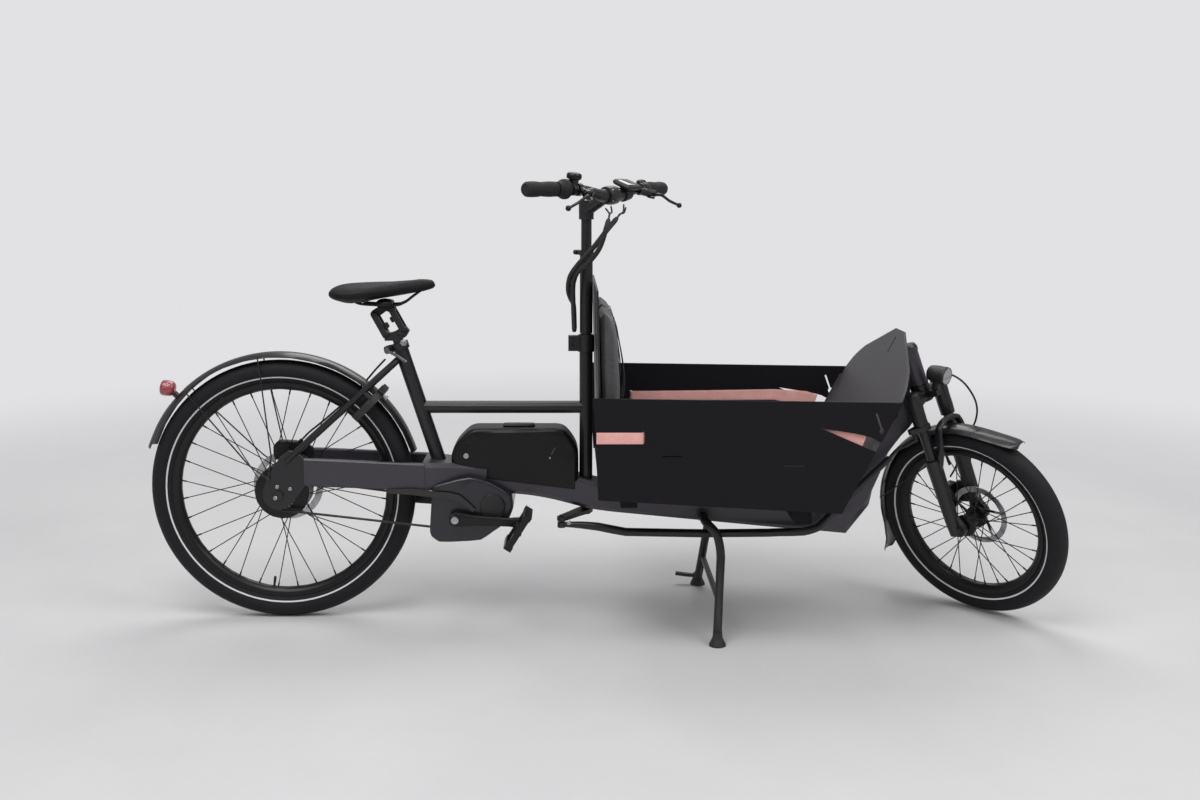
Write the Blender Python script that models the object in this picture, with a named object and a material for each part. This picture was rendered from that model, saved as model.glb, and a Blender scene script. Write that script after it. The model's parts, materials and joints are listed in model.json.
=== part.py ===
"""A front-loading cargo bike with an electric motor at the cranks, standing on its stand.

Metres, +X forward, +Y to the rider's left, +Z up. The shapes of the frame are written from the
rear axle, whose height above the floor is the rear wheel's radius. The fork is written along its
own steering axis and the bars along the column's, and both are then turned to the right, as the
bike stands in the photograph. The origin of the finished part is the middle of its footprint.
"""

import math

import bmesh
import bpy
from mathutils import Matrix, Quaternion, Vector

# Wheels: both tyres are 55 mm wide, on rims with bead seats of 559 and 406 mm.
TYRE_WIDTH = 0.055
REAR_BEAD_RADIUS = 0.2795
FRONT_BEAD_RADIUS = 0.203
RIM_WIDTH = 0.034
RIM_DEPTH = 0.0195
SPOKE_RADIUS = 0.0012
SPOKES = 32
SPOKE_SPREAD = 0.002
REAR_CROSS = 22.5
FRONT_CROSS = 45.0

# Frame and steering geometry
WHEELBASE = 1.778
HEAD_TILT = 20.0
FORK_OFFSET = 0.030
COLUMN_X = 0.770
BAR_TURN = 35.0
STEER_RATIO = 1.4
COLUMN_ARM = 0.108
FORK_ARM_HEIGHT = 0.262

# Running and seating gaps
SEAT_GAP = 0.0003
RUN_GAP = 0.0006

# Main beam and its fork round the rear wheel
BEAM_WIDTH = 0.090
BEAM_HEIGHT = 0.071
STAY_WIDTH = 0.018
STAY_SPREAD = 0.065
BEAM_SPLIT_X = 0.358
STAY_REAR_X = 0.066
BEAM_FRONT_X = 1.360

# Tubes
SEAT_TUBE_RADIUS = 0.018
SEAT_TUBE_LEAN = 17.6
SEAT_TUBE_BORE = 0.0140
SEAT_TUBE_TOP = 0.308
SEATPOST_RADIUS = 0.0136
TOP_TUBE_RADIUS = 0.0158
TOP_TUBE_HEIGHT = 0.2135
COLUMN_TUBE_RADIUS = 0.017
COLUMN_TUBE_TOP = 0.400
SHAFT_RADIUS = 0.0125
STEERER_RADIUS = 0.0163
UPPER_TUBE_RADIUS = 0.01325
HEAD_TUBE_RADIUS = 0.0235
FORK_STEERER_RADIUS = 0.0142

# Hubs and brakes
REAR_AXLE_RADIUS = 0.0062
FRONT_AXLE_RADIUS = 0.0060
REAR_HUB_RADIUS = 0.069
REAR_HUB_HALF = 0.036
DROPOUT_HALF = 0.058
DROPOUT_THICK = 0.010
ROTOR_THICK = 0.002
REAR_ROTOR_RADIUS = 0.090
REAR_ROTOR_Y = 0.048
FRONT_ROTOR_RADIUS = 0.080
FRONT_ROTOR_Y = 0.0345

# Belt drive: an 11 mm pitch belt, 24 teeth behind and 22 in front
BELT_PITCH = 0.011
REAR_TEETH = 24
FRONT_TEETH = 22
BELT_WIDTH = 0.011
BELT_THICK = 0.0032
BELT_Y = -0.0485
CRANK_X = 0.442
CRANK_Z = -0.0555
CRANK_LENGTH = 0.160
CRANK_DROP = 3.0
CRANK_AXLE_RADIUS = 0.0120
CRANK_Y = 0.0955

# Mudguards
MUDGUARD_THICK = 0.0022
MUDGUARD_HALF = 0.031
MUDGUARD_CROWN = 0.011
REAR_MUDGUARD_GAP = 0.0195
REAR_MUDGUARD_SPAN = (17.0, 144.0)
FRONT_MUDGUARD_GAP = 0.0075

# Fork
FORK_LEG_SPREAD = 0.060
FORK_LEG_AHEAD = 0.015
STANCHION_RADIUS = 0.0132
SLEEVE_RADIUS = 0.0185
FORK_TRAVEL = 0.030
LOWER_LEG_RADIUS = 0.0195
LOWER_LEG_TOP = 0.195
SLEEVE_LOW = 0.277
FORK_TRAVEL = 0.030
CROWN_LOW = 0.333
CROWN_HIGH = 0.377
HEAD_LOW = 0.3835
HEAD_HIGH = 0.481

# Bars, from the column's axis
BAR_REACH = 0.070
BAR_HEIGHT = 0.7455
BAR_HALF = 0.303
BAR_BACK = 0.032
BAR_RISE = 0.015
BAR_RADIUS = 0.0111
BAR_CENTRE_RADIUS = 0.0158
BAR_MIDDLE_RADIUS = 0.0135
BRAKE_SHARE = 0.455
BELL_SHARE = 0.515
GRIP_RADIUS = 0.0172

# Box
BOX_HALF = 0.300
SHEET = 0.006
BOX_TOP_REAR = (0.782, 0.2855)
BOX_TOP_FRONT = (1.502, 0.2755)
BOX_LOW_REAR = (0.795, 0.0445)
BOX_LOW_FRONT = (1.367, 0.0105)
FLOOR_THICK = 0.012
PEAK_RISE = 0.134
STRAP_WIDTH = 0.027
STRAP_THICK = 0.0016
STRAP_HEIGHT = 0.1925
STRAP_SLOT_X = 0.899

# Padded backs, from their lower to their upper edge
PAD_LOW = 0.199
PAD_HIGH = 0.485
PAD_HALF = 0.119
PAD_MIDDLE = 0.131
PAD_EDGE = 0.014
PAD_CROWN = 0.026

# Lamp and ring lock, by their angle up from the front of the rear wheel
LAMP_ANGLE = 137.0
LAMP_FOOT = 0.0095
LAMP_MIDDLE = 0.0168
LAMP_DEPTH = 0.022
LOCK_ANGLE = 45.0
LOCK_INNER = 0.0505
LOCK_OUTER = 0.0640
LOCK_HALF = 0.0095
LOCK_ARM = 125.0

# Saddle and its sprung post
RAIL_Z = 0.4745
RAIL_SPREAD = 0.022
RAIL_RADIUS = 0.0035
POST_PIVOTS = (Vector((0.3140, 0, 0.4080)), Vector((0.2700, 0, 0.3955)))
POST_LINK = Vector((-0.0290, 0, 0.0540))

# Tie rod
ARM_Z = -0.0550
ROD_Z = ARM_Z - 0.0160
ROD_RADIUS = 0.0105
ROD_EYE_HALF = 0.0060

# Stand
STAND_X = 1.068
STAND_PIVOT_Z = -0.0590
STAND_TUBE_RADIUS = 0.0110
STAND_FOOT_X = 1.088
STAND_FOOT_Y = 0.240

REAR_RADIUS = REAR_BEAD_RADIUS + TYRE_WIDTH
FRONT_RADIUS = FRONT_BEAD_RADIUS + TYRE_WIDTH
FORK_TURN = BAR_TURN * STEER_RATIO
TILT = math.radians(HEAD_TILT)
STEER_AXIS = Vector((-math.sin(TILT), 0, math.cos(TILT)))
STEER_FOOT = Vector(
    (
        WHEELBASE - FORK_OFFSET * math.cos(TILT),
        0,
        FRONT_RADIUS - FORK_OFFSET * math.sin(TILT) - REAR_RADIUS,
    )
)
BELT_REAR_RADIUS = REAR_TEETH * BELT_PITCH / (2 * math.pi)
BELT_FRONT_RADIUS = FRONT_TEETH * BELT_PITCH / (2 * math.pi)
REAR_MUDGUARD_RADIUS = REAR_RADIUS + REAR_MUDGUARD_GAP + MUDGUARD_THICK
FRONT_MUDGUARD_RADIUS = FRONT_RADIUS + FRONT_MUDGUARD_GAP + MUDGUARD_THICK
SEAT_LEAN = math.radians(SEAT_TUBE_LEAN)
SEAT_AXIS = Vector((-math.sin(SEAT_LEAN), 0, math.cos(SEAT_LEAN)))
SEAT_FOOT = Vector((0.394, 0, 0.0805))
STAND_PIVOT = Vector((STAND_X, 0, STAND_PIVOT_Z))
BELL_UP = Vector((0.15, 0, 1)).normalized()

Y_AXIS = Vector((0, 1, 0))
Z_AXIS = Vector((0, 0, 1))


# Colours and finishes, as seen in the photograph


def finish(name, colour, roughness, metallic=0.0):
    """A Principled material of one colour."""
    made = bpy.data.materials.new(name)
    made.use_nodes = True
    shader = made.node_tree.nodes["Principled BSDF"]
    shader.inputs["Base Color"].default_value = (*colour, 1)
    shader.inputs["Roughness"].default_value = roughness
    shader.inputs["Metallic"].default_value = metallic
    made.diffuse_color = (*colour, 1)
    return made


def finishes():
    """Every finish of the bike, by a short name."""
    return {
        "grey_paint": finish("grey_paint", (0.075, 0.072, 0.085), 0.45),
        "black_paint": finish("black_paint", (0.012, 0.012, 0.013), 0.38),
        "black_plastic": finish("black_plastic", (0.018, 0.018, 0.02), 0.55),
        "panel": finish("panel", (0.022, 0.021, 0.024), 0.5),
        "front_plate": finish("front_plate", (0.09, 0.085, 0.09), 0.5),
        "tyre": finish("tyre", (0.02, 0.02, 0.021), 0.85),
        "rubber": finish("rubber", (0.03, 0.03, 0.03), 0.8),
        "steel": finish("steel", (0.55, 0.55, 0.56), 0.3, 1.0),
        "alloy": finish("alloy", (0.3, 0.3, 0.31), 0.35, 1.0),
        "strap": finish("strap", (0.78, 0.27, 0.2), 0.8),
        "pad": finish("pad", (0.17, 0.17, 0.175), 0.9),
        "lens": finish("lens", (0.5, 0.02, 0.02), 0.2),
    }


# Shapes: every function here returns a closed bmesh with its faces pointing out


def skin(rings, loop=False):
    """The surface through rings of one count; its ends are capped unless the rings close on themselves."""
    made = bmesh.new()
    rows = [[made.verts.new(point) for point in ring] for ring in rings]
    count = len(rows[0])
    pairs = list(zip(rows, rows[1:]))
    if loop:
        pairs.append((rows[-1], rows[0]))
    else:
        made.faces.new(list(reversed(rows[0])))
        made.faces.new(rows[-1])
    for low, high in pairs:
        for i in range(count):
            j = (i + 1) % count
            made.faces.new((low[i], low[j], high[j], high[i]))
    bmesh.ops.recalc_face_normals(made, faces=made.faces)
    return made


def smooth(points, steps=4):
    """Points along a Catmull-Rom curve through the given ones."""
    knots = [Vector(p) for p in points]
    knots = [2 * knots[0] - knots[1], *knots, 2 * knots[-1] - knots[-2]]
    found = []
    for a, b, c, d in zip(knots, knots[1:], knots[2:], knots[3:]):
        for step in range(steps):
            t = step / steps
            found.append(
                0.5 * (
                    2 * b + (c - a) * t + (
                        2 * a - 5 * b + 4 * c - d
                    ) * t * t + (3 * b - a - 3 * c + d) * t**3
                )
            )
    return found + [knots[-2]]


def tube(path, radius, sides=10, flat=1.0, up=None):
    """A round bar along a path, of one radius or one for each point. flat squeezes it across up."""
    points = [Vector(p) for p in path]
    radii = [radius] * len(points) if isinstance(radius, float) else list(radius)
    tangents = []
    for i in range(len(points)):
        ahead = points[min(i + 1, len(points) - 1)]
        behind = points[max(i - 1, 0)]
        tangents.append((ahead - behind).normalized())
    side = tangents[0].cross(Vector(up) if up else Z_AXIS)
    if side.length < 0.05:
        side = tangents[0].cross(Y_AXIS)
    side.normalize()
    rings = []
    for i, point in enumerate(points):
        if i:
            side = tangents[i - 1].rotation_difference(tangents[i]) @ side
        other = side.cross(tangents[i])
        ring = []
        for k in range(sides):
            angle = 2 * math.pi * (k + 0.5) / sides
            ring.append(point + radii[i] * (side * math.cos(angle) * flat + other * math.sin(angle)))
        rings.append(ring)
    return skin(rings)


def turned(profile, foot, axis, sides=24):
    """A solid of revolution from (along, radius) points, capped flat at both ends."""
    foot = Vector(foot)
    axis = Vector(axis).normalized()
    side = axis.orthogonal().normalized()
    other = axis.cross(side)
    rings = []
    for along, radius in profile:
        ring = []
        for k in range(sides):
            angle = 2 * math.pi * k / sides
            ring.append(foot + axis * along + radius * (side * math.cos(angle) + other * math.sin(angle)))
        rings.append(ring)
    return skin(rings)


def hoop(profile, foot, axis, sides=48, start=0.0, sweep=360.0, zero=None):
    """A closed (along, radius) profile carried round the axis, from start through sweep degrees."""
    foot = Vector(foot)
    axis = Vector(axis).normalized()
    zero = Vector(zero).normalized() if zero else axis.orthogonal().normalized()
    other = axis.cross(zero)
    whole = sweep >= 360
    rings = []
    for k in range(sides if whole else sides + 1):
        angle = math.radians(start + sweep * k / sides)
        out = zero * math.cos(angle) + other * math.sin(angle)
        rings.append([foot + axis * along + out * radius for along, radius in profile])
    return skin(rings, loop=whole)


def plate(outline, low, high):
    """An outline in X and Z, carried across Y from low to high."""
    return skin([[Vector((x, low, z)) for x, z in outline], [Vector((x, high, z)) for x, z in outline]])


def block(low, high, edge=0.0):
    """A box from its lowest to its highest corner, its edges bevelled by edge."""
    (x0, y0, z0), (x1, y1, z1) = low, high
    made = plate([(x0, z0), (x1, z0), (x1, z1), (x0, z1)], y0, y1)
    return bevelled(made, edge) if edge else made


def bevelled(made, width, segments=1, least=40.0):
    """The shape with its edges that are sharper than least degrees bevelled."""
    sharp = [e for e in made.edges if e.calc_face_angle(0) > math.radians(least)]
    bmesh.ops.bevel(made, geom=sharp, offset=width, segments=segments, affect="EDGES", profile=0.5)
    return made


def spar(stations, corner=0.3, y=0.0):
    """A box section with cut corners along (x, z, width, height) stations in one upright plane."""
    points = [Vector((x, y, z)) for x, z, _, _ in stations]
    rings = []
    for i, (_, _, width, height) in enumerate(stations):
        before = (points[i] - points[i - 1]).normalized() if i else None
        after = (points[i + 1] - points[i]).normalized() if i + 1 < len(points) else None
        before = before or after
        after = after or before
        along = (before + after).normalized()
        up = Vector((-along.z, 0, along.x))
        stretch = 1 / max(before.dot(along), 0.5)
        cut = corner * min(width, height) / 2
        ring = []
        for sy, sz in ((1, 1), (-1, 1), (-1, -1), (1, -1)):
            wide = Vector((0, sy * width / 2, 0))
            tall = up * sz * stretch * height / 2
            first = wide + tall - up * sz * stretch * cut
            second = wide + tall - Vector((0, sy * cut, 0))
            ring += [first, second] if sy * sz > 0 else [second, first]
        rings.append([points[i] + offset for offset in ring])
    return skin(rings)


def moved(made, matrix):
    """The shape after a transform."""
    made.transform(matrix)
    return made


def mirrored(made):
    """The shape mirrored from right to left."""
    made.transform(Matrix.Diagonal((1, -1, 1, 1)))
    bmesh.ops.reverse_faces(made, faces=made.faces)
    return made


def arc(centre, radius, start, end, steps):
    """Points of an arc in degrees, as (x, z) pairs."""
    found = []
    for k in range(steps + 1):
        angle = math.radians(start + (end - start) * k / steps)
        found.append((centre[0] + radius * math.cos(angle), centre[1] + radius * math.sin(angle)))
    return found


# Objects


def empty(name, parent=None, location=(0, 0, 0), rotation=None):
    """An axis that pieces hang on."""
    made = bpy.data.objects.new(name, None)
    made.empty_display_size = 0.05
    made.parent = parent
    made.location = location
    if rotation:
        made.rotation_mode = "QUATERNION"
        made.rotation_quaternion = rotation
    bpy.context.scene.collection.objects.link(made)
    return made


def combined(target, shapes, operation):
    """Joins shapes to the target object, or cuts them from it, with an exact Boolean that is applied."""
    helpers = bpy.data.collections.new("helpers")
    bpy.context.scene.collection.children.link(helpers)
    made = []
    for shape in shapes:
        mesh = bpy.data.meshes.new("helper")
        shape.to_mesh(mesh)
        shape.free()
        made.append(bpy.data.objects.new("helper", mesh))
        helpers.objects.link(made[-1])
    modifier = target.modifiers.new("combine", "BOOLEAN")
    modifier.operation = operation
    modifier.operand_type = "COLLECTION"
    modifier.collection = helpers
    modifier.solver = "EXACT"
    bpy.context.view_layer.update()
    graph = bpy.context.evaluated_depsgraph_get()
    result = bpy.data.meshes.new_from_object(target.evaluated_get(graph))
    target.modifiers.clear()
    target.data = result
    for helper in made:
        bpy.data.objects.remove(helper)
    bpy.data.collections.remove(helpers)


def piece(name, shapes, look, parent, pivot=(0, 0, 0), cuts=(), sharp=35.0):
    """One solid of the bike: shapes joined, cuts taken away, its origin at the pivot."""
    mesh = bpy.data.meshes.new(name)
    shapes[0].to_mesh(mesh)
    shapes[0].free()
    made = bpy.data.objects.new(name, mesh)
    bpy.context.scene.collection.objects.link(made)
    if len(shapes) > 1:
        combined(made, shapes[1:], "UNION")
    if cuts:
        combined(made, cuts, "DIFFERENCE")
    made.data.name = name
    made.data.transform(Matrix.Translation(-Vector(pivot)))
    made.parent = parent
    made.location = pivot
    made.data.materials.clear()
    made.data.materials.append(LOOKS[look])
    made.data.shade_smooth()
    made.data.set_sharp_from_angle(angle=math.radians(sharp))
    return made


# Wheels


def tyre_section(bead):
    """The tyre's closed profile: round outside, flat on the rim, as (across, radius) points."""
    half = TYRE_WIDTH / 2
    centre = bead + half
    points = []
    for k in range(7):
        angle = math.radians(-48 + 276 * k / 6)
        points.append((half * math.cos(angle), centre + half * math.sin(angle)))
    seat = RIM_WIDTH / 2 - 0.002
    return points + [(-seat, bead + SEAT_GAP), (seat, bead + SEAT_GAP)]


def rim_section(bead):
    """The rim's closed profile: a flat bed under the tyre and a rounded well."""
    half = RIM_WIDTH / 2
    return [
        (half, bead),
        (-half, bead),
        (-half, bead - 0.007),
        (-half * 0.35, bead - RIM_DEPTH),
        (half * 0.35, bead - RIM_DEPTH),
        (half, bead - 0.007),
    ]


def spokes(bead, right, left, cross):
    """Laced spokes from two flanges, given as (across, radius), to the rim, which meet it cross degrees on.

    Every second spoke of a flange leaves it on its outer face, so that crossing spokes pass each other.
    """
    made = []
    reach = bead - RIM_DEPTH * 0.8
    for k in range(SPOKES):
        across, flange = right if k % 2 else left
        lead = 1 if (k // 2) % 2 else -1
        out = math.radians(360 * (k + 0.5) / SPOKES)
        root = out + math.radians(lead * cross)
        a = (flange * math.cos(root), across + lead * SPOKE_SPREAD, flange * math.sin(root))
        b = (reach * math.cos(out), across * 0.12, reach * math.sin(out))
        made.append(tube([a, b], SPOKE_RADIUS, 3))
    return made


def rear_wheel_parts():
    """Tyre, laced wheel, rotor and sprocket of the rear wheel, about the rear axle."""
    hub = hoop(
        [
            (-0.0415, REAR_AXLE_RADIUS + RUN_GAP),
            (0.0465, REAR_AXLE_RADIUS + RUN_GAP),
            (0.0465, 0.022),
            (REAR_HUB_HALF, 0.026),
            (REAR_HUB_HALF - 0.006, REAR_HUB_RADIUS),
            (-REAR_HUB_HALF + 0.006, REAR_HUB_RADIUS),
            (-REAR_HUB_HALF, 0.034),
            (-0.0415, 0.032),
        ],
        (0, 0, 0),
        Y_AXIS,
        16,
    )
    rim = hoop(rim_section(REAR_BEAD_RADIUS), (0, 0, 0), Y_AXIS, SPOKES)
    flange = REAR_HUB_RADIUS - 0.003
    lacing = spokes(REAR_BEAD_RADIUS, (-0.026, flange), (0.026, flange), REAR_CROSS)
    tyre = hoop(tyre_section(REAR_BEAD_RADIUS), (0, 0, 0), Y_AXIS, SPOKES)
    piece("rear_tyre", [tyre], "tyre", FRAME)
    piece("rear_wheel", [rim, hub, *lacing], "black_paint", FRAME)
    rotor("rear_rotor", REAR_ROTOR_RADIUS, REAR_ROTOR_Y, 0.0135, FRAME)
    sprocket("rear_sprocket", (0, 0, 0), REAR_TEETH, BELT_REAR_RADIUS, REAR_AXLE_RADIUS + RUN_GAP, 5)


def rotor(name, radius, y, bore, parent, pivot=(0, 0, 0)):
    """A brake disc: a braking ring on five swept arms and a centre ring."""
    low = y - ROTOR_THICK / 2
    high = y + ROTOR_THICK / 2
    band = radius * 0.19
    centre = Vector(pivot)
    outer = hoop(
        [(low, radius - band), (high, radius - band), (high, radius), (low, radius)],
        centre,
        Y_AXIS,
        20,
    )
    inner = hoop([(low, bore), (high, bore), (high, bore + 0.012), (low, bore + 0.012)], centre, Y_AXIS, 8)
    arms = []
    for k in range(5):
        out = math.radians(72 * k)
        root = out + math.radians(38)
        a = Vector(((bore + 0.009) * math.cos(root), y, (bore + 0.009) * math.sin(root)))
        b = Vector(((radius - band * 0.7) * math.cos(out), y, (radius - band * 0.7) * math.sin(out)))
        across = (b - a).cross(Y_AXIS).normalized() * 0.0035
        thick = Vector((0, (ROTOR_THICK - 0.0004) / 2, 0))
        ring = [across + thick, -across + thick, -across - thick, across - thick]
        arms.append(skin([[centre + a + p for p in ring], [centre + b + p for p in ring]]))
    piece(name, [outer, inner, *arms], "steel", parent, pivot)


def sprocket(name, centre, teeth, pitch_radius, bore, window_count=0):
    """A belt sprocket with square teeth below the belt, and round windows between bore and teeth."""
    tip = pitch_radius - BELT_THICK / 2 - 0.0005
    root = tip - 0.0028
    outline = []
    step = 360 / teeth
    for k in range(teeth):
        for share, radius in ((0.06, root), (0.16, tip), (0.60, tip), (0.70, root)):
            angle = math.radians(step * (k + share))
            outline.append((centre[0] + radius * math.cos(angle), centre[2] + radius * math.sin(angle)))
    low = BELT_Y - BELT_WIDTH / 2 - 0.0004
    high = BELT_Y + BELT_WIDTH / 2 + 0.0004
    windows = []
    reach = (root + bore) * 0.53
    size = (root - bore) * 0.27
    for k in range(window_count):
        at = math.radians(18 + 360 * k / window_count)
        foot = (centre[0] + reach * math.cos(at), low - 0.01, centre[2] + reach * math.sin(at))
        windows.append(turned([(0, size), (high - low + 0.02, size)], foot, Y_AXIS, 6))
    hole = turned([(0, bore), (high - low + 0.02, bore)], (centre[0], low - 0.01, centre[2]), Y_AXIS, 12)
    return piece(name, [plate(outline, low, high)], "alloy", FRAME, centre, [hole, *windows])


# Drive


def motor_outline():
    """The motor's side view: a drum round the cranks with a raised front, under the beam."""
    return [
        (0.384, 0.0245),
        (0.430, 0.0375),
        (0.477, 0.0475),
        (0.530, 0.0335),
        (0.583, 0.0025),
        (0.587, -0.030),
        (0.572, -0.0665),
        (0.532, -0.0965),
        (0.504, -0.1155),
        (0.452, -0.1195),
        (0.400, -0.1205),
        (0.380, -0.106),
        (0.376, -0.0895),
    ]


def belt_route(radius_change):
    """The belt's outline round both sprockets, moved out by radius_change."""
    rear = BELT_REAR_RADIUS + radius_change
    front = BELT_FRONT_RADIUS + radius_change
    gap = math.hypot(CRANK_X, CRANK_Z)
    slope = math.degrees(math.atan2(CRANK_Z, CRANK_X))
    lean = math.degrees(math.asin((rear - front) / gap))
    start = slope + 90 - lean
    behind = arc((0, 0), rear, start, start + 180 + 2 * lean, 15)
    ahead = arc((CRANK_X, CRANK_Z), front, start + 180 + 2 * lean, start + 360, 13)
    return behind + ahead


def drive():
    """Motor, belt, sprockets, cranks, pedals and guard."""
    low = BELT_Y - BELT_WIDTH / 2
    high = BELT_Y + BELT_WIDTH / 2
    body = bevelled(plate(motor_outline(), -0.075, 0.070), 0.006, 1, 50)
    cover = turned([(0, 0.033), (0.004, 0.031), (0.006, 0.026)], (0.535, -0.0745, -0.0275), -Y_AXIS, 12)
    slot = block((0.36, low - 0.003, -0.14), (CRANK_X + BELT_FRONT_RADIUS + 0.0045, high + 0.0025, 0.10))
    bore = turned(
        [(0, CRANK_AXLE_RADIUS + RUN_GAP), (0.2, CRANK_AXLE_RADIUS + RUN_GAP)],
        (CRANK_X, -0.1, CRANK_Z),
        Y_AXIS,
        12,
    )
    piece("motor_unit", [body, cover], "grey_paint", FRAME, (0, 0, 0), [beam_shape(SEAT_GAP), slot, bore])
    outer = belt_route(BELT_THICK / 2)
    inner = belt_route(-BELT_THICK / 2 + 0.0002)
    band = bmesh.new()
    corners = [
        [band.verts.new((x, y, z)) for x, z in outline] for outline in (outer, inner) for y in (low, high)
    ]
    outer_low, outer_high, inner_low, inner_high = corners
    count = len(outer_low)
    for i in range(count):
        j = (i + 1) % count
        band.faces.new((outer_low[i], outer_low[j], outer_high[j], outer_high[i]))
        band.faces.new((inner_high[i], inner_high[j], inner_low[j], inner_low[i]))
        band.faces.new((outer_high[i], outer_high[j], inner_high[j], inner_high[i]))
        band.faces.new((inner_low[i], inner_low[j], outer_low[j], outer_low[i]))
    bmesh.ops.recalc_face_normals(band, faces=band.faces)
    piece("drive_belt", [band], "rubber", FRAME)
    sprocket(
        "front_pulley", (CRANK_X, 0, CRANK_Z), FRONT_TEETH, BELT_FRONT_RADIUS,
        CRANK_AXLE_RADIUS + RUN_GAP,
    )
    cranks()
    guard = [
        (0.270, 0.0165), (0.330, 0.0205), (0.400, 0.012), (0.453, 0.004), (0.493, -0.033),
        (0.484, -0.040), (0.447, -0.010), (0.390, -0.002), (0.330, 0.0055), (0.276, 0.0085),
    ]
    wall = plate(guard, -0.0835, -0.0805)
    lugs = [
        block((0.385, -0.082, -0.001), (0.397, -0.0753, 0.010)),
        block((0.470, -0.082, -0.030), (0.482, -0.0753, -0.020)),
    ]
    piece("belt_guard", [wall, *lugs], "black_plastic", FRAME)


def crank_end(side):
    """The pedal axle's place: side is -1 on the right, where the crank points forward."""
    drop = math.radians(CRANK_DROP)
    return Vector(
        (
            CRANK_X - side * CRANK_LENGTH * math.cos(drop),
            side * CRANK_Y,
            CRANK_Z + side * CRANK_LENGTH * math.sin(drop),
        )
    )


def cranks():
    """The crank axle with both arms, and the two pedals."""
    hub = Vector((CRANK_X, 0, CRANK_Z))
    shapes = [
        turned(
            [(0, CRANK_AXLE_RADIUS), (2 * CRANK_Y, CRANK_AXLE_RADIUS)],
            hub - Y_AXIS * CRANK_Y,
            Y_AXIS,
            10,
        )
    ]
    for side in (-1, 1):
        end = crank_end(side)
        root = hub + Y_AXIS * side * CRANK_Y
        along = (end - root).normalized()
        stations = []
        for share, width in (
            (-0.09, 0.010), (0.0, 0.018), (0.30, 0.0125), (0.85, 0.0105), (1.0, 0.013),
            (1.06, 0.009),
        ):
            stations.append((root + along * CRANK_LENGTH * share, width))
        across = along.cross(Y_AXIS).normalized()
        rings = []
        for point, width in stations:
            corners = (
                (1, -0.0045), (0.6, -0.0068), (-0.6, -0.0068), (-1, -0.0045), (-1, 0.0045),
                (-0.6, 0.0068), (0.6, 0.0068), (1, 0.0045),
            )
            rings.append([point + across * width * a + Y_AXIS * b for a, b in corners])
        shapes.append(skin(rings))
        shapes.append(
            turned([(0, 0.0125), (0.010, 0.011)], root - Y_AXIS * side * 0.001, Y_AXIS * side, 10)
        )
        pedal("right_pedal" if side < 0 else "left_pedal", end, side)
    piece("crankset", shapes, "black_paint", FRAME, hub)


def pedal(name, axle, side):
    """A platform pedal: a framed body with a waist and a spindle that meets the crank."""
    length, width, thick = 0.100, 0.092, 0.020
    start = 0.0110
    lean = math.radians(58)
    frame = []
    for sx in (-1, 1):
        bar = block(
            (sx * (length / 2 - 0.006) - 0.006, 0, -thick / 2),
            (sx * (length / 2 - 0.006) + 0.006, width, thick / 2),
        )
        frame.append(bar)
    for y in (0.0, width - 0.012):
        frame.append(
            block(
                (-length / 2 + 0.004, y, -thick / 2 + 0.002),
                (length / 2 - 0.004, y + 0.012, thick / 2 - 0.002),
            )
        )
    frame.append(
        turned([(-0.0038, 0.0075), (0.002, 0.0085), (width - 0.002, 0.0105)], (0, 0, 0), Y_AXIS, 8)
    )
    frame.append(
        block(
            (-length / 2 + 0.01, width * 0.5 - 0.004, -0.004),
            (length / 2 - 0.01, width * 0.5 + 0.004, 0.004),
        )
    )
    place = Matrix.Translation(axle + Y_AXIS * side * start) @ Matrix.Rotation(-lean, 4, "Y")
    for shape in frame:
        shape.transform(Matrix.Diagonal((1, side, 1, 1)))
        if side < 0:
            bmesh.ops.reverse_faces(shape, faces=shape.faces)
        shape.transform(place)
    piece(name, frame, "black_plastic", FRAME, axle)


# Frame


def beam_stations(grow=0.0):
    """The beam's centre line, falling forward under the box, with its width and height."""
    found = []
    for x, z, width in (
        (BEAM_SPLIT_X, 0.0468, 2 * STAY_SPREAD + STAY_WIDTH - 0.001),
        (0.385, 0.0455, 0.138),
        (0.440, 0.0425, 0.108),
        (0.490, 0.0390, BEAM_WIDTH + 0.004),
        (0.560, 0.0335, BEAM_WIDTH),
        (0.629, 0.0275, BEAM_WIDTH),
        (0.690, 0.0165, BEAM_WIDTH),
        (0.740, 0.0035, BEAM_WIDTH),
        (0.789, -0.0095, BEAM_WIDTH),
        (0.860, -0.0190, BEAM_WIDTH),
        (BEAM_FRONT_X, -0.0690, BEAM_WIDTH),
    ):
        found.append((x, z, width + 2 * grow, BEAM_HEIGHT + 2 * grow))
    return found


def beam_shape(grow=0.0):
    """The beam without its rear fork, grown by a gap on every side when another piece is cut to it."""
    stations = beam_stations(grow)
    if grow:
        x, z, width, height = stations[0]
        stations[0] = (x - grow, z, width, height)
    return spar(stations)


def beam_top(x):
    """Height of the beam's upper face at x."""
    stations = beam_stations()
    for (x0, z0, _, height), (x1, z1, _, _) in zip(stations, stations[1:]):
        if x <= x1:
            slope = (z1 - z0) / (x1 - x0)
            return z0 + slope * (x - x0) + height / 2 * math.hypot(1, slope)
    return stations[-1][1] + BEAM_HEIGHT / 2


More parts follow.
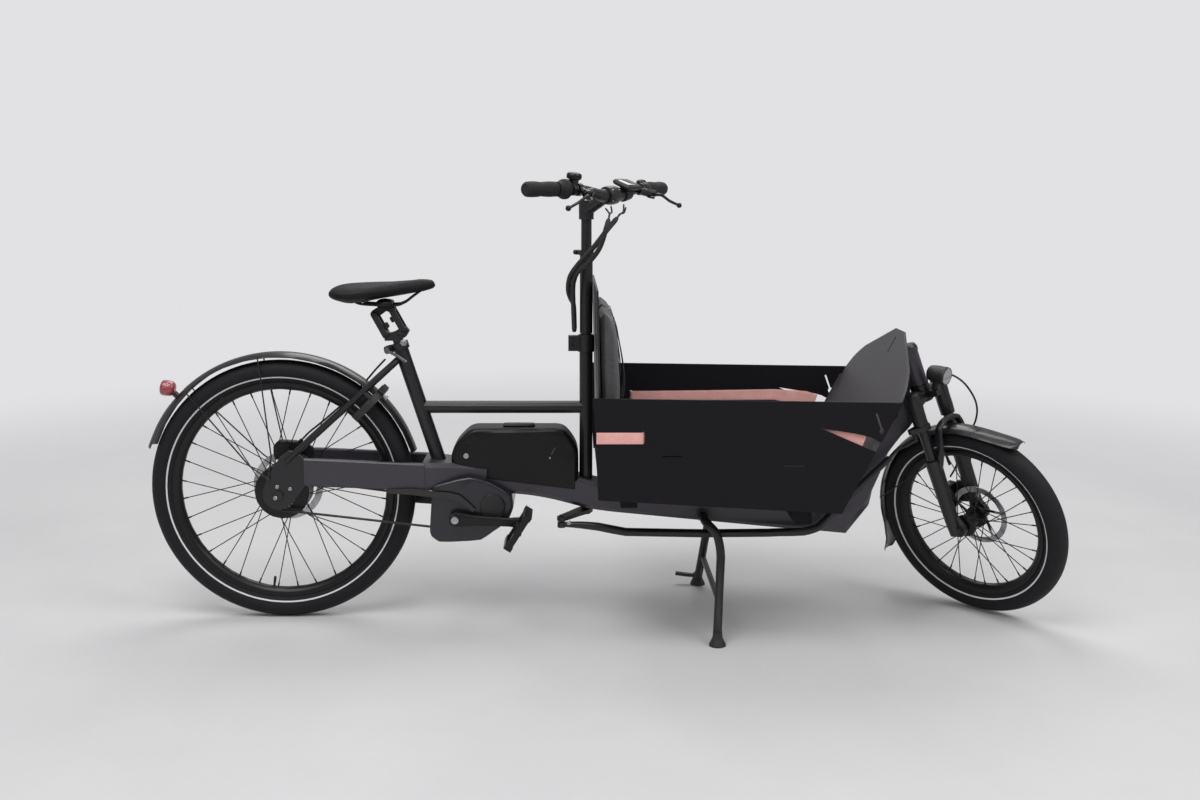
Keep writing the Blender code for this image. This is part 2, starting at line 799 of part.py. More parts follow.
def main_beam():
    """The beam, its two tall stays beside the rear wheel, and the sleeve that the stand turns in."""
    stays = []
    for side in (-1, 1):
        stays.append(
            spar(
                [
                    (STAY_REAR_X - 0.006, 0.0603, STAY_WIDTH, 0.069),
                    (0.098, 0.0585, STAY_WIDTH, 0.070),
                    (0.365, 0.0463, STAY_WIDTH, 0.0685),
                ],
                0.35,
                side * STAY_SPREAD,
            )
        )
    sleeve = turned(
        [(-0.052, STAND_TUBE_RADIUS + 0.0045), (0.052, STAND_TUBE_RADIUS + 0.0045)],
        STAND_PIVOT,
        Y_AXIS,
        12,
    )
    pin_hole = turned(
        [(-0.1, STAND_TUBE_RADIUS + RUN_GAP), (0.1, STAND_TUBE_RADIUS + RUN_GAP)],
        STAND_PIVOT,
        Y_AXIS,
        12,
    )
    shaft_hole = turned(
        [(-0.15, SHAFT_RADIUS + RUN_GAP), (0.15, SHAFT_RADIUS + RUN_GAP)],
        (COLUMN_X, 0, 0),
        Z_AXIS,
        12,
    )
    behind = block((0.0, -0.1, 0.0), (STAY_REAR_X, 0.1, 0.15))
    piece(
        "main_beam", [beam_shape(), *stays, sleeve], "grey_paint", FRAME, (0, 0, 0),
        [shaft_hole, pin_hole, behind],
    )


def head_point(along, ahead=0.0, y=0.0):
    """A point by its distance up the steering axis and ahead of it."""
    return STEER_FOOT + STEER_AXIS * along + Vector(
        (math.cos(TILT), 0, math.sin(TILT))
    ) * ahead + Y_AXIS * y


def front_riser():
    """The spar that climbs from the beam's front end to the head tube, with a hollow for the wheel."""
    low = beam_stations()[-1]
    high = head_point(HEAD_HIGH - 0.045, -0.022)
    stations = [
        (BEAM_FRONT_X + SEAT_GAP, low[1], BEAM_WIDTH, BEAM_HEIGHT),
        (1.424, -0.0755, BEAM_WIDTH, BEAM_HEIGHT),
        (1.4645, -0.0240, 0.084, 0.0700),
        (1.5020, 0.0565, 0.076, 0.0700),
        (1.5228, 0.1107, 0.066, 0.0660),
        (1.5540, 0.1540, 0.052, 0.0600),
        (1.5800, 0.1880, 0.043, 0.0540),
        (1.5790, 0.2200, 0.041, 0.0480),
        (1.5720, 0.2560, 0.041, 0.0450),
        (high.x, high.z, 0.036, 0.0420),
    ]
    head = turned([(HEAD_LOW, HEAD_TUBE_RADIUS), (HEAD_HIGH, HEAD_TUBE_RADIUS)], STEER_FOOT, STEER_AXIS, 14)
    rims = [
        turned(
            [(at, HEAD_TUBE_RADIUS + 0.002), (at + 0.010, HEAD_TUBE_RADIUS + 0.002)],
            STEER_FOOT,
            STEER_AXIS,
            14,
        )
        for at in (HEAD_LOW + 0.0004, HEAD_HIGH - 0.0104)
    ]
    bore = FORK_STEERER_RADIUS + RUN_GAP
    cut = [turned([(HEAD_LOW - 0.02, bore), (HEAD_HIGH + 0.03, bore)], STEER_FOOT, STEER_AXIS, 12)]
    reach = FRONT_MUDGUARD_RADIUS + 0.003
    for travel in (0.0, FORK_TRAVEL):
        axle = head_point(travel, FORK_OFFSET)
        half = MUDGUARD_HALF + 0.004
        cut.append(turned([(-half, reach), (half, reach)], axle, Y_AXIS, 32))
    piece("front_riser", [spar(stations, 0.5), head, *rims], "grey_paint", FRAME, (0, 0, 0), cut)


def seat_point(along, ahead=0.0, y=0.0):
    """A point by its distance up the seat tube and ahead of it."""
    across = Vector((math.cos(SEAT_LEAN), 0, math.sin(SEAT_LEAN)))
    return SEAT_FOOT + SEAT_AXIS * along + across * ahead + Y_AXIS * y


def seat_tube_shape(grow=0.0):
    """The seat tube, from inside the beam to under the clamp."""
    radius = SEAT_TUBE_RADIUS + grow
    return turned([(-0.03, radius), (SEAT_TUBE_TOP, radius)], SEAT_FOOT, SEAT_AXIS, 12)


def column_tube_shape(grow=0.0):
    """The fixed column tube, from inside the beam to its clamp."""
    radius = COLUMN_TUBE_RADIUS + grow
    return turned([(-0.02, radius), (COLUMN_TUBE_TOP, radius)], (COLUMN_X, 0, 0), Z_AXIS, 12)


def seat_stay_points(side):
    """The stay's centre line: from the seat tube it spreads round the mudguard and falls to the dropout."""
    top = seat_point(0.275, -0.010, side * 0.012)
    return [
        top,
        Vector((0.285, side * 0.024, 0.324)),
        Vector((0.235, side * 0.045, 0.279)),
        Vector((0.170, side * 0.055, 0.220)),
        Vector((0.100, side * 0.060, 0.1575)),
        Vector((0.050, side * 0.063, 0.1125)),
        Vector((0.020, side * 0.063, 0.0850)),
    ]


def stay_shapes(side, grow=0.0):
    """One seat stay as an oval bar."""
    return tube(seat_stay_points(side), 0.0105 + grow, 8, 0.8, (0, 1, 0))


def upper_frame():
    """Seat tube, top tube and column tube with its clamp, in one weldment that stands on the beam."""
    above = 0.6
    seat_bore = turned([(0.10, SEAT_TUBE_BORE), (above, SEAT_TUBE_BORE)], SEAT_FOOT, SEAT_AXIS, 12)
    slot = moved(
        block((-0.03, -0.0015, 0), (0, 0.0015, 0.05)),
        Matrix.Translation(seat_point(SEAT_TUBE_TOP - 0.025)) @ Matrix.Rotation(-SEAT_LEAN, 4, "Y"),
    )
    joint = SEAT_FOOT + SEAT_AXIS * ((TOP_TUBE_HEIGHT - SEAT_FOOT.z) / SEAT_AXIS.z)
    ends = [(joint.x + 0.004, 0, TOP_TUBE_HEIGHT), (COLUMN_X - 0.004, 0, TOP_TUBE_HEIGHT)]
    top_tube = tube(ends, TOP_TUBE_RADIUS, 12)
    shaft_bore = turned(
        [(-0.1, SHAFT_RADIUS + RUN_GAP), (above, SHAFT_RADIUS + RUN_GAP)],
        (COLUMN_X, 0, 0),
        Z_AXIS,
        12,
    )
    low, high = COLUMN_TUBE_TOP - 0.044, COLUMN_TUBE_TOP - 0.002
    clamp = turned(
        [(low, COLUMN_TUBE_RADIUS + 0.0042), (high, COLUMN_TUBE_RADIUS + 0.0042)],
        (COLUMN_X, 0, 0),
        Z_AXIS,
        12,
    )
    lug = block((COLUMN_X - 0.045, -0.0125, low + 0.002), (COLUMN_X, 0.0125, high - 0.002))
    bolts = []
    for z in (low + 0.011, high - 0.011):
        bolts.append(tube([(COLUMN_X - 0.036, -0.021, z), (COLUMN_X - 0.036, 0.021, z)], 0.0048, 6))
    split = block((COLUMN_X - 0.06, -0.0012, low - 0.01), (COLUMN_X - 0.0405, 0.0012, high + 0.01))
    piece(
        "upper_frame",
        [seat_tube_shape(), top_tube, column_tube_shape(), clamp, lug, *bolts],
        "black_paint",
        FRAME,
        (0, 0, 0),
        [beam_shape(SEAT_GAP), seat_bore, slot, shaft_bore, split],
    )
    rear_triangle()


def dropout_outline():
    """Side view of a dropout: round under the axle, rising to the seat stay, forward to the low stay."""
    front = STAY_REAR_X - SEAT_GAP
    return [
        (front, 0.093),
        (0.044, 0.112),
        (0.026, 0.113),
        (-0.006, 0.080),
        (-0.026, 0.046),
        (-0.036, 0.020),
        *arc((0, 0), 0.037, 170, 300, 6),
        (0.036, -0.014),
        (front, 0.027),
    ]


def rear_triangle():
    """Both seat stays, joined at a bridge, the dropouts and the axle between them."""
    shapes = []
    for side in (-1, 1):
        low, high = sorted((side * DROPOUT_HALF, side * (DROPOUT_HALF + DROPOUT_THICK)))
        shapes.append(plate(dropout_outline(), low, high))
        shapes.append(stay_shapes(side))
        nut = DROPOUT_HALF + DROPOUT_THICK - 0.001
        shapes.append(turned([(0, 0.0125), (0.006, 0.0120)], (0, side * nut, 0), Y_AXIS * side, 8))
    reach = DROPOUT_HALF + 0.005
    shapes.append(turned([(-reach, REAR_AXLE_RADIUS), (reach, REAR_AXLE_RADIUS)], (0, 0, 0), Y_AXIS, 12))
    shapes.append(tube([(0.262, -0.036, 0.3035), (0.262, 0.036, 0.3035)], 0.008, 8))
    piece("rear_triangle", shapes, "black_paint", FRAME, (0, 0, 0), [seat_tube_shape(SEAT_GAP)])


# Seat


def seat():
    """Clamp, sprung post and saddle."""
    collar = turned(
        [(SEAT_TUBE_TOP - 0.014, 0.0225), (SEAT_TUBE_TOP + 0.004, 0.0225)],
        SEAT_FOOT,
        SEAT_AXIS,
        12,
    )
    ear = moved(
        block((-0.040, -0.009, -0.014), (-0.015, 0.009, 0.004), 0.002),
        Matrix.Translation(seat_point(SEAT_TUBE_TOP)) @ Matrix.Rotation(-SEAT_LEAN, 4, "Y"),
    )
    grip = SEAT_TUBE_RADIUS + SEAT_GAP
    inner = turned([(0.2, grip), (SEAT_TUBE_TOP + SEAT_GAP, grip)], SEAT_FOOT, SEAT_AXIS, 12)
    lip = turned([(0.2, SEAT_TUBE_BORE), (SEAT_TUBE_TOP + 0.1, SEAT_TUBE_BORE)], SEAT_FOOT, SEAT_AXIS, 12)
    spindle = seat_point(SEAT_TUBE_TOP - 0.005, -0.031)
    hole = turned([(-0.03, 0.0034), (0.03, 0.0034)], spindle, Y_AXIS, 10)
    piece("seat_clamp", [collar, ear], "black_paint", FRAME, (0, 0, 0), [inner, lip, hole])
    rod = turned([(-0.020, 0.0030), (0.0115, 0.0030)], spindle, Y_AXIS, 8)
    nut = turned([(0.0093, 0.0065), (0.015, 0.0065)], spindle, Y_AXIS, 8)
    cam = turned([(-0.0290, 0.0070), (-0.0093, 0.0075)], spindle, Y_AXIS, 10)
    root = spindle + Vector((0, -0.0250, 0))
    route = [
        root, root + Vector((0.014, -0.0040, -0.006)), root + Vector((0.030, -0.0045, -0.015)),
        root + Vector((0.048, -0.0040, -0.028)),
    ]
    handle = tube(smooth(route, 2), 0.0040, 6, 0.8)
    piece("quick_release", [rod, nut, cam, handle], "alloy", FRAME, spindle)

    post_top = SEAT_TUBE_TOP + 0.012
    shaft = turned(
        [(0.115, SEATPOST_RADIUS), (post_top + 0.012, SEATPOST_RADIUS)],
        SEAT_FOOT,
        SEAT_AXIS,
        12,
    )
    front, rear = POST_PIVOTS
    head = plate(
        [
            (0.266, 0.3830), (0.290, 0.3835), (0.318, 0.3930), (0.327, 0.4080), (0.320, 0.4170),
            (0.309, 0.4170), (0.290, 0.4060), (0.277, 0.4030), (0.270, 0.4080), (0.262, 0.4030),
        ],
        -0.0105,
        0.0105,
    )
    holes = [turned([(-0.03, 0.0042), (0.03, 0.0042)], pivot, Y_AXIS, 8) for pivot in (front, rear)]
    piece("seatpost", [shaft, head], "black_paint", FRAME, (0, 0, 0), holes)
    half = 0.0215
    for name, pivot in (("front_post_link", front), ("rear_post_link", rear)):
        top = pivot + POST_LINK
        arms = []
        for side in (-1, 1):
            arms.append(link_arm(pivot, top, side * (half - 0.0045)))
        pins = [turned([(-half, 0.0036), (half, 0.0036)], end, Y_AXIS, 6) for end in (pivot, top)]
        piece(name, [*arms, *pins], "black_paint", FRAME, pivot)
    carrier(front + POST_LINK, rear + POST_LINK)
    saddle()


def link_arm(low, high, y):
    """One flat arm of a link, with round ends."""
    along = (high - low).normalized()
    across = Vector((-along.z, 0, along.x))
    points = []
    for end, start in ((high, 0), (low, 180)):
        for k in range(3):
            angle = math.radians(start + 90 * k)
            points.append(end + 0.0075 * (-across * math.cos(angle) + along * math.sin(angle)))
    thick = Vector((0, 0.0038, 0))
    centre = Vector((0, y, 0))
    return skin([[p + centre - thick for p in points], [p + centre + thick for p in points]])


def carrier(front, rear):
    """The top block of the sprung post, which holds the saddle rails in its clamp."""
    outline = [
        (rear.x - 0.009, rear.z - 0.004), (rear.x, rear.z - 0.009),
        (rear.x + 0.016, rear.z - 0.002), (front.x - 0.014, front.z - 0.004),
        (front.x, front.z - 0.009), (front.x + 0.009, front.z - 0.003),
        (front.x + 0.009, front.z + 0.004), (front.x + 0.002, RAIL_Z - 0.004),
        (front.x - 0.024, RAIL_Z - 0.001), (rear.x - 0.004, rear.z + 0.010),
        (rear.x - 0.009, rear.z + 0.004),
    ]
    body = plate(outline, -0.0105, 0.0105)
    cradle = block(
        (front.x - 0.036, -0.029, front.z + 0.0078),
        (front.x + 0.002, 0.029, RAIL_Z + 0.0085),
        0.003,
    )
    holes = [turned([(-0.03, 0.0042), (0.03, 0.0042)], pivot, Y_AXIS, 8) for pivot in (front, rear)]
    rails = [rail_shape(side, SEAT_GAP) for side in (-1, 1)]
    piece("saddle_carrier", [body, cradle], "black_paint", FRAME, front, [*holes, *rails])


def rail_shape(side, grow=0.0):
    """One saddle rail: flat through the clamp, rising to the nose and to the back of the shell."""
    path = smooth(
        [
            (0.176, side * 0.034, 0.4930),
            (0.205, side * 0.030, 0.4790),
            (0.240, side * RAIL_SPREAD, RAIL_Z),
            (0.304, side * RAIL_SPREAD, RAIL_Z),
            (0.335, side * 0.016, 0.4930),
            (0.358, side * 0.010, 0.5100),
        ],
        2,
    )
    return tube(path, RAIL_RADIUS + grow, 5)


def saddle():
    """The saddle: a padded shell that is wide behind and narrow ahead, on two rails."""
    rings = []
    for x, half, top, low in (
        (0.1330, 0.030, 0.5080, 0.4960),
        (0.1400, 0.052, 0.5150, 0.4900),
        (0.1600, 0.072, 0.5225, 0.4830),
        (0.1900, 0.080, 0.5265, 0.4780),
        (0.2250, 0.073, 0.5285, 0.4830),
        (0.2600, 0.054, 0.5300, 0.4900),
        (0.2900, 0.038, 0.5310, 0.4945),
        (0.3400, 0.024, 0.5350, 0.5030),
        (0.3840, 0.016, 0.5350, 0.5130),
        (0.3915, 0.008, 0.5270, 0.5180),
    ):
        ring = []
        for k in range(10):
            angle = 2 * math.pi * (k + 0.5) / 10
            across = math.cos(angle)
            up = math.sin(angle)
            crown = 1 - 0.30 * across * across * min(half / 0.08, 1)
            middle = low + (top - low) * 0.42
            z = middle + (top - middle) * up * crown if up > 0 else middle + (middle - low) * up
            ring.append(Vector((x, half * across * abs(across) ** -0.25, z)))
        rings.append(ring)
    rails = [rail_shape(side) for side in (-1, 1)]
    piece("saddle", [skin(rings), *rails], "black_plastic", FRAME, (0, 0, 0), (), 60)


# Mudguards, lamps, lock and brakes at the rear


def mudguard_section(radius):
    """A thin arched strip as a closed (across, radius) profile."""
    outer = []
    inner = []
    for share in (-1, -0.5, 0.5, 1):
        drop = MUDGUARD_CROWN * share * share
        outer.append((MUDGUARD_HALF * share, radius - drop))
        inner.append(((MUDGUARD_HALF - 0.001) * share, radius - MUDGUARD_THICK - drop * 0.98))
    return outer + inner[::-1]


def rear_mudguard():
    """The rear mudguard with its wire stays, which end in an eye beside each dropout."""
    guard = hoop(
        mudguard_section(REAR_MUDGUARD_RADIUS), (0, 0, 0), -Y_AXIS, 15, *REAR_MUDGUARD_SPAN,
        (1, 0, 0),
    )
    edge = REAR_MUDGUARD_RADIUS - 0.0115
    outside = DROPOUT_HALF + DROPOUT_THICK + SEAT_GAP + 0.0024
    eye = Vector((-0.024, 0, 0.044))
    stays = []
    for side in (-1, 1):
        foot = eye + Y_AXIS * side * outside
        stays.append(turned([(-0.0022, 0.0052), (0.0022, 0.0052)], foot, Y_AXIS, 8))
        for angle in (98, 132):
            out = math.radians(angle)
            tip = Vector((edge * math.cos(out), side * (MUDGUARD_HALF + 0.0008), edge * math.sin(out)))
            bend = Vector((tip.x * 0.30, side * outside, tip.z * 0.30))
            stays.append(tube([foot, bend, tip * 0.94 + Y_AXIS * side * 0.0015, tip * 1.012], 0.0021, 4))
    lamp_at = math.radians(LAMP_ANGLE)
    out = Vector((math.cos(lamp_at), 0, math.sin(lamp_at)))
    foot = tube([out * (REAR_MUDGUARD_RADIUS - 0.0045), out * (REAR_MUDGUARD_RADIUS + LAMP_FOOT)], 0.008, 8)
    piece("rear_mudguard", [guard, *stays, foot], "black_plastic", FRAME, (0, 0, 0), [lock_room()])
    seat = REAR_MUDGUARD_RADIUS + LAMP_FOOT + SEAT_GAP
    centre = out * (REAR_MUDGUARD_RADIUS + LAMP_FOOT + LAMP_MIDDLE)
    body = turned(
        [(-0.015, 0.012), (-0.010, 0.0185), (0.010, 0.020), (0.016, 0.0185), (0.019, 0.014)],
        centre,
        Vector((-1, 0, 0.15)),
        12,
    )
    neck = tube([out * seat, centre], 0.0065, 8)
    piece("rear_lamp", [body, neck], "lens", FRAME, (0, 0, 0), [below_plane(out, seat)])


def below_plane(out, distance):
    """A block that holds all nearer the axle than a distance along out."""
    turn = Vector((0, 0, 1)).rotation_difference(out).to_matrix().to_4x4()
    return moved(block((-0.03, -0.03, -0.06), (0.03, 0.03, distance)), turn)


def lock_frame():
    """Centre, tangent and outward direction of the ring lock, which stands round the tyre's section."""
    at = math.radians(LOCK_ANGLE)
    out = Vector((math.cos(at), 0, math.sin(at)))
    return out * (REAR_BEAD_RADIUS + TYRE_WIDTH / 2), Vector((-math.sin(at), 0, math.cos(at))), out


def lock_room():
    """Where the ring lock's inner edge would touch the mudguard's sides."""
    centre, along, out = lock_frame()
    return hoop(
        [
            (-LOCK_HALF - 0.001, LOCK_INNER - 0.0012), (LOCK_HALF + 0.001, LOCK_INNER - 0.0012),
            (LOCK_HALF + 0.001, LOCK_OUTER), (-LOCK_HALF - 0.001, LOCK_OUTER),
        ],
        centre,
        along,
        20,
        -LOCK_ARM - 2,
        2 * LOCK_ARM + 4,
        out,
    )


def ring_lock():
    """The frame lock: a C round the tyre with its bolt in a groove, open towards the hub."""
    centre, along, out = lock_frame()
    half, inner, outer = LOCK_HALF, LOCK_INNER, LOCK_OUTER
    ring = hoop(
        [(-half, inner), (half, inner), (half, outer), (-half, outer)],
        centre,
        along,
        16,
        -LOCK_ARM,
        2 * LOCK_ARM,
        out,
    )
    groove = hoop(
        [(0.003, 0.0525), (-half - 0.001, 0.0525), (-half - 0.001, 0.0620), (0.003, 0.0620)],
        centre, along, 16, -LOCK_ARM - 3, 2 * LOCK_ARM + 6, out,
    )
    lugs = []
    for side in (-1, 1):
        start = centre + out * 0.030 + Y_AXIS * side * 0.052 + along * (half - 0.003)
        lugs.append(tube([start, start + along * 0.045], 0.006, 6))
    case = hoop(
        [
            (-half - 0.0005, outer - 0.003), (half - 0.0005, outer - 0.003),
            (half - 0.002, outer + 0.006), (-half + 0.002, outer + 0.006),
        ],
        centre,
        along,
        6,
        -35,
        70,
        out,
    )
    cuts = [groove, stay_shapes(-1, SEAT_GAP), stay_shapes(1, SEAT_GAP)]
    piece(
        "ring_lock", [ring, case, *lugs], "black_plastic", FRAME, (0, 0, 0),
        cuts + lug_ends(centre, along, out),
    )
    middle, thick = 0.05725, 0.0040
    start, sweep = -LOCK_ARM + 1.0, 128.0
    bolt = hoop(
        [
            (
                -0.0025 + thick * math.cos(math.radians(45 + 60 * k)),
                middle + thick * math.sin(math.radians(45 + 60 * k)),
            )
            for k in range(6)
        ],
        centre,
        along,
        10,
        start,
        sweep,
        out,
    )
    at = math.radians(start + 100)
    knob_out = out * math.cos(at) + along.cross(out) * math.sin(at)
    knob = turned(
        [(0.004, 0.0035), (0.016, 0.0035), (0.0165, 0.0065), (0.022, 0.0060)],
        centre + knob_out * middle,
        -along,
        8,
    )
    piece("lock_bolt", [bolt, knob], "steel", FRAME, centre)


def lug_ends(centre, along, out):
    """What lies beyond the seat stays, where the lock's lugs end."""
    direction = Vector((0.269, 0, 0.247)).normalized()
    normal = Vector((-direction.z, 0, direction.x))
    foot = Vector((0.235, 0, 0.279))
    turn = Matrix((
        (direction.x, 0, normal.x, foot.x),
        (0, 1, 0, 0),
        (direction.z, 0, normal.z, foot.z),
        (0, 0, 0, 1),
    ))
    return [moved(block((-0.2, -0.1, 0.0), (0.2, 0.1, 0.1)), turn)]


def rear_brake():
    """The rear caliper over its disc and the hose along the stay."""
    low = REAR_ROTOR_Y - 0.0105
    high = DROPOUT_HALF - SEAT_GAP
    inner = REAR_ROTOR_RADIUS - 0.016
    body = bevelled(
        plate(
            [
                (-0.034, 0.074), (-0.018, 0.066), (0.018, 0.066), (0.036, 0.078), (0.038, 0.100),
                (0.026, 0.117), (-0.020, 0.119), (-0.034, 0.104),
            ],
            low,
            high,
        ),
        0.003,
    )
    slot_half = ROTOR_THICK / 2 + RUN_GAP
    slot = hoop(
        [
            (REAR_ROTOR_Y - slot_half, 0.03),
            (REAR_ROTOR_Y + slot_half, 0.03),
            (REAR_ROTOR_Y + slot_half, REAR_ROTOR_RADIUS + 0.002),
            (REAR_ROTOR_Y - slot_half, REAR_ROTOR_RADIUS + 0.002),
        ],
        (0, 0, 0),
        Y_AXIS,
        20,
    )
    outlet = turned([(0, 0.0055), (0.014, 0.0042)], (0.030, 0.045, 0.111), Vector((0.7, 0, 0.71)), 8)
    piece("rear_caliper", [body, outlet], "black_paint", FRAME, (0, 0, 0), [slot, stay_shapes(1, SEAT_GAP)])
    route = [
        (0.0405, 0.045, 0.1217), (0.060, 0.046, 0.141), (0.090, 0.045, 0.165), (0.130, 0.0425, 0.199),
        (0.172, 0.0405, 0.235), (0.210, 0.0365, 0.276), (0.236, 0.0325, 0.306), (0.262, 0.020, 0.333),
    ]
    piece("rear_brake_hose", [tube(route, 0.0025, 5)], "rubber", FRAME)


# Battery and box


def battery():
    """The battery case, which sits on the beam between the seat tube and the column."""
    outline = [
        (0.4290, 0.040), (0.4310, 0.0985), (0.4400, 0.125), (0.4770, 0.1620), (0.5000, 0.1645),
        (0.6900, 0.1645), (0.7160, 0.1610), (0.7420, 0.1250), (0.7500, 0.0980), (0.7500, 0.000),
    ]
    case = bevelled(plate(outline, -0.0465, 0.0465), 0.009, 1, 25)
    lock = turned([(0, 0.008), (0.004, 0.0075)], (0.463, -0.0455, 0.119), -Y_AXIS, 12)
    handle = block((0.560, -0.014, 0.163), (0.640, 0.014, 0.171), 0.003)
    room = column_tube_shape(0.002)
    piece(
        "battery",
        [case, lock, handle],
        "black_plastic",
        FRAME,
        (0, 0, 0),
        [beam_shape(SEAT_GAP), room, seat_tube_shape(0.002)],
    )


def side_panel_cuts():
    """Keyhole, slots and window of a side panel, on the right side."""
    y0, y1 = -BOX_HALF - 0.01, -BOX_HALF + SHEET + 0.01
    cuts = [
        plate(
            [(1.309, 0.2165), (1.448, 0.1565), (1.458, 0.1790), (1.430, 0.1940), (1.392, 0.2030)],
            y0,
            y1,
        )
    ]
    cuts.append(
        block(
            (STRAP_SLOT_X - 0.0035, y0, STRAP_HEIGHT - STRAP_WIDTH / 2 - 0.0015),
            (STRAP_SLOT_X + 0.0035, y1, STRAP_HEIGHT + STRAP_WIDTH / 2 + 0.0015),
        )
    )
    for x0, x1, z in ((0.944, 0.988, 0.1485), (1.227, 1.276, 0.1275)):
        cuts.append(block((x0, y0, z - 0.0022), (x1, y1, z + 0.0022)))
    cuts.append(keyhole((1.4400, 0.2510), (1.4560, 0.2080), 0.0025, 0.0075, y0, y1))
    return cuts


def keyhole(high, low, narrow, wide, y0, y1):
    """A keyhole: a slot from high to low that ends in a round hole."""
    a, b = Vector((high[0], 0, high[1])), Vector((low[0], 0, low[1]))
    along = (b - a).normalized()
    across = Vector((-along.z, 0, along.x)) * narrow
    points = [a - across, a + across]
    turn = math.degrees(math.atan2(-along.z, -along.x))
    gap = math.degrees(math.asin(narrow / wide))
    ends = arc((b.x, b.z), wide, turn - gap, turn - 360 + gap, 12)
    outline = [(p.x, p.z) for p in points] + (
        ends
        if (Vector((ends[0][0], 0, ends[0][1])) - points[1]).length < (
            Vector((ends[-1][0], 0, ends[-1][1])) - points[1]
        ).length else ends[::-1]
    )
    return plate(outline, y0, y1)


def box():
    """Floor, side panels, front panel and the straps of the load box."""
    side = [BOX_LOW_REAR, BOX_LOW_FRONT, BOX_TOP_FRONT, BOX_TOP_REAR]
    right = plate(side, -BOX_HALF, -BOX_HALF + SHEET)
    piece("right_panel", [right], "panel", FRAME, (0, 0, 0), side_panel_cuts())
    left = plate(side, BOX_HALF - SHEET, BOX_HALF)
    piece("left_panel", [left], "panel", FRAME, (0, 0, 0), [mirrored(cut) for cut in side_panel_cuts()])
    floor()
    front_panel()
    for name, mirror in (("right_strap", False), ("left_strap", True)):
        band = strap_shape()
        piece(name, [mirrored(band) if mirror else band], "strap", FRAME)


def floor():
    """The sloping floor with its two cross members that rest on the beam."""
    half = BOX_HALF - SHEET - SEAT_GAP
    slope = (BOX_LOW_FRONT[1] - BOX_LOW_REAR[1]) / (BOX_LOW_FRONT[0] - BOX_LOW_REAR[0])
    x0 = BOX_LOW_REAR[0] + 0.0035
    x1 = BOX_LOW_FRONT[0] - SHEET
    deck = plate(
        [
            (x0, BOX_LOW_REAR[1]),
            (x1, BOX_LOW_REAR[1] + slope * (x1 - x0)),
            (x1, BOX_LOW_REAR[1] + slope * (x1 - x0) + FLOOR_THICK),
            (x0, BOX_LOW_REAR[1] + FLOOR_THICK),
        ],
        -half,
        half,
    )
    members = []
    for x in (0.870, 1.290):
        high = BOX_LOW_REAR[1] + slope * (x - x0) + 0.004
        members.append(block((x - 0.020, -0.235, beam_top(x) - 0.006), (x + 0.020, 0.235, high)))
    piece("cargo_floor", [deck, *members], "panel", FRAME, (0, 0, 0), [beam_shape(SEAT_GAP)])


def front_panel():
    """The front wall, leaning with the panels' front edges and rising to a peak with a keyhole."""
    lean = Vector((BOX_TOP_FRONT[0] - BOX_LOW_FRONT[0], 0, BOX_TOP_FRONT[1] - BOX_LOW_FRONT[1]))
    up = lean.normalized()
    foot = Vector((BOX_LOW_FRONT[0], 0, BOX_LOW_FRONT[1]))
    normal = Vector((up.z, 0, -up.x))
    tall = lean.length
    half = BOX_HALF - SHEET - SEAT_GAP
    outline = [(-half, 0.0), (half, 0.0), (half, tall - 0.006)]
    for share, rise in (
        (0.93, 0.030), (0.85, 0.052), (0.74, 0.074), (0.13, 0.150), (-0.13, 0.150),
        (-0.74, 0.074), (-0.85, 0.052), (-0.93, 0.030),
    ):
        outline.append((half * share, tall + rise * PEAK_RISE / 0.134))
    outline.append((-half, tall - 0.006))
    wall = skin(
        [
            [foot + up * v + Y_AXIS * u + normal * depth for u, v in outline]
            for depth in (-SHEET, -0.0003)
        ]
    )
    outline = (
        (-0.0045, tall + 0.086), (0.0045, tall + 0.086), (0.0045, tall + 0.128),
        (0.0, tall + 0.132), (-0.0045, tall + 0.128),
    )
    slot = skin(
        [[foot + up * v + Y_AXIS * u + normal * depth for u, v in outline] for depth in (-0.02, 0.02)]
    )
    flanges = []
    for side in (-1, 1):
        y0, y1 = sorted((side * (half - 0.0025), side * half))
        fold = ((0.02, 0.001), (tall - 0.02, 0.001), (tall - 0.03, 0.011), (0.03, 0.011))
        flanges.append(skin([[foot + up * v - normal * d + Y_AXIS * y for v, d in fold] for y in (y0, y1)]))
    piece("front_panel", [wall, *flanges], "front_plate", FRAME, (0, 0, 0), [slot])


def strap_shape():
    """One strap as a flat band: outside behind its slot, then inside the panel to the window."""
    outside = -BOX_HALF - SEAT_GAP - STRAP_THICK / 2
    inside = -BOX_HALF + SHEET + SEAT_GAP + STRAP_THICK / 2
    path = [
        (0.790, outside, STRAP_HEIGHT, 1.0),
        (STRAP_SLOT_X - 0.004, outside, STRAP_HEIGHT, 1.0),
        (STRAP_SLOT_X - 0.001, outside + 0.001, STRAP_HEIGHT, 1.0),
        (STRAP_SLOT_X + 0.001, inside - 0.001, STRAP_HEIGHT, 1.0),
        (STRAP_SLOT_X + 0.004, inside, STRAP_HEIGHT, 1.0),
        (1.100, inside, STRAP_HEIGHT + 0.002, 1.0),
        (1.300, inside, STRAP_HEIGHT + 0.004, 1.1),
        (1.384, inside, STRAP_HEIGHT - 0.008, 1.6),
        (1.412, inside, STRAP_HEIGHT - 0.018, 1.6),
    ]
    rings = []
    for i, (x, y, z, wide) in enumerate(path):
        x0, y0 = path[max(i - 1, 0)][:2]
        x1, y1 = path[min(i + 1, len(path) - 1)][:2]
        along = Vector((x1 - x0, y1 - y0, 0)).normalized()
        across = Vector((-along.y, along.x, 0)) * STRAP_THICK / 2
        tall = Z_AXIS * STRAP_WIDTH / 2 * wide
        centre = Vector((x, y, z))
        rings.append(
            [
                centre + across + tall, centre - across + tall, centre - across - tall,
                centre + across - tall,
            ]
        )
    return skin(rings)


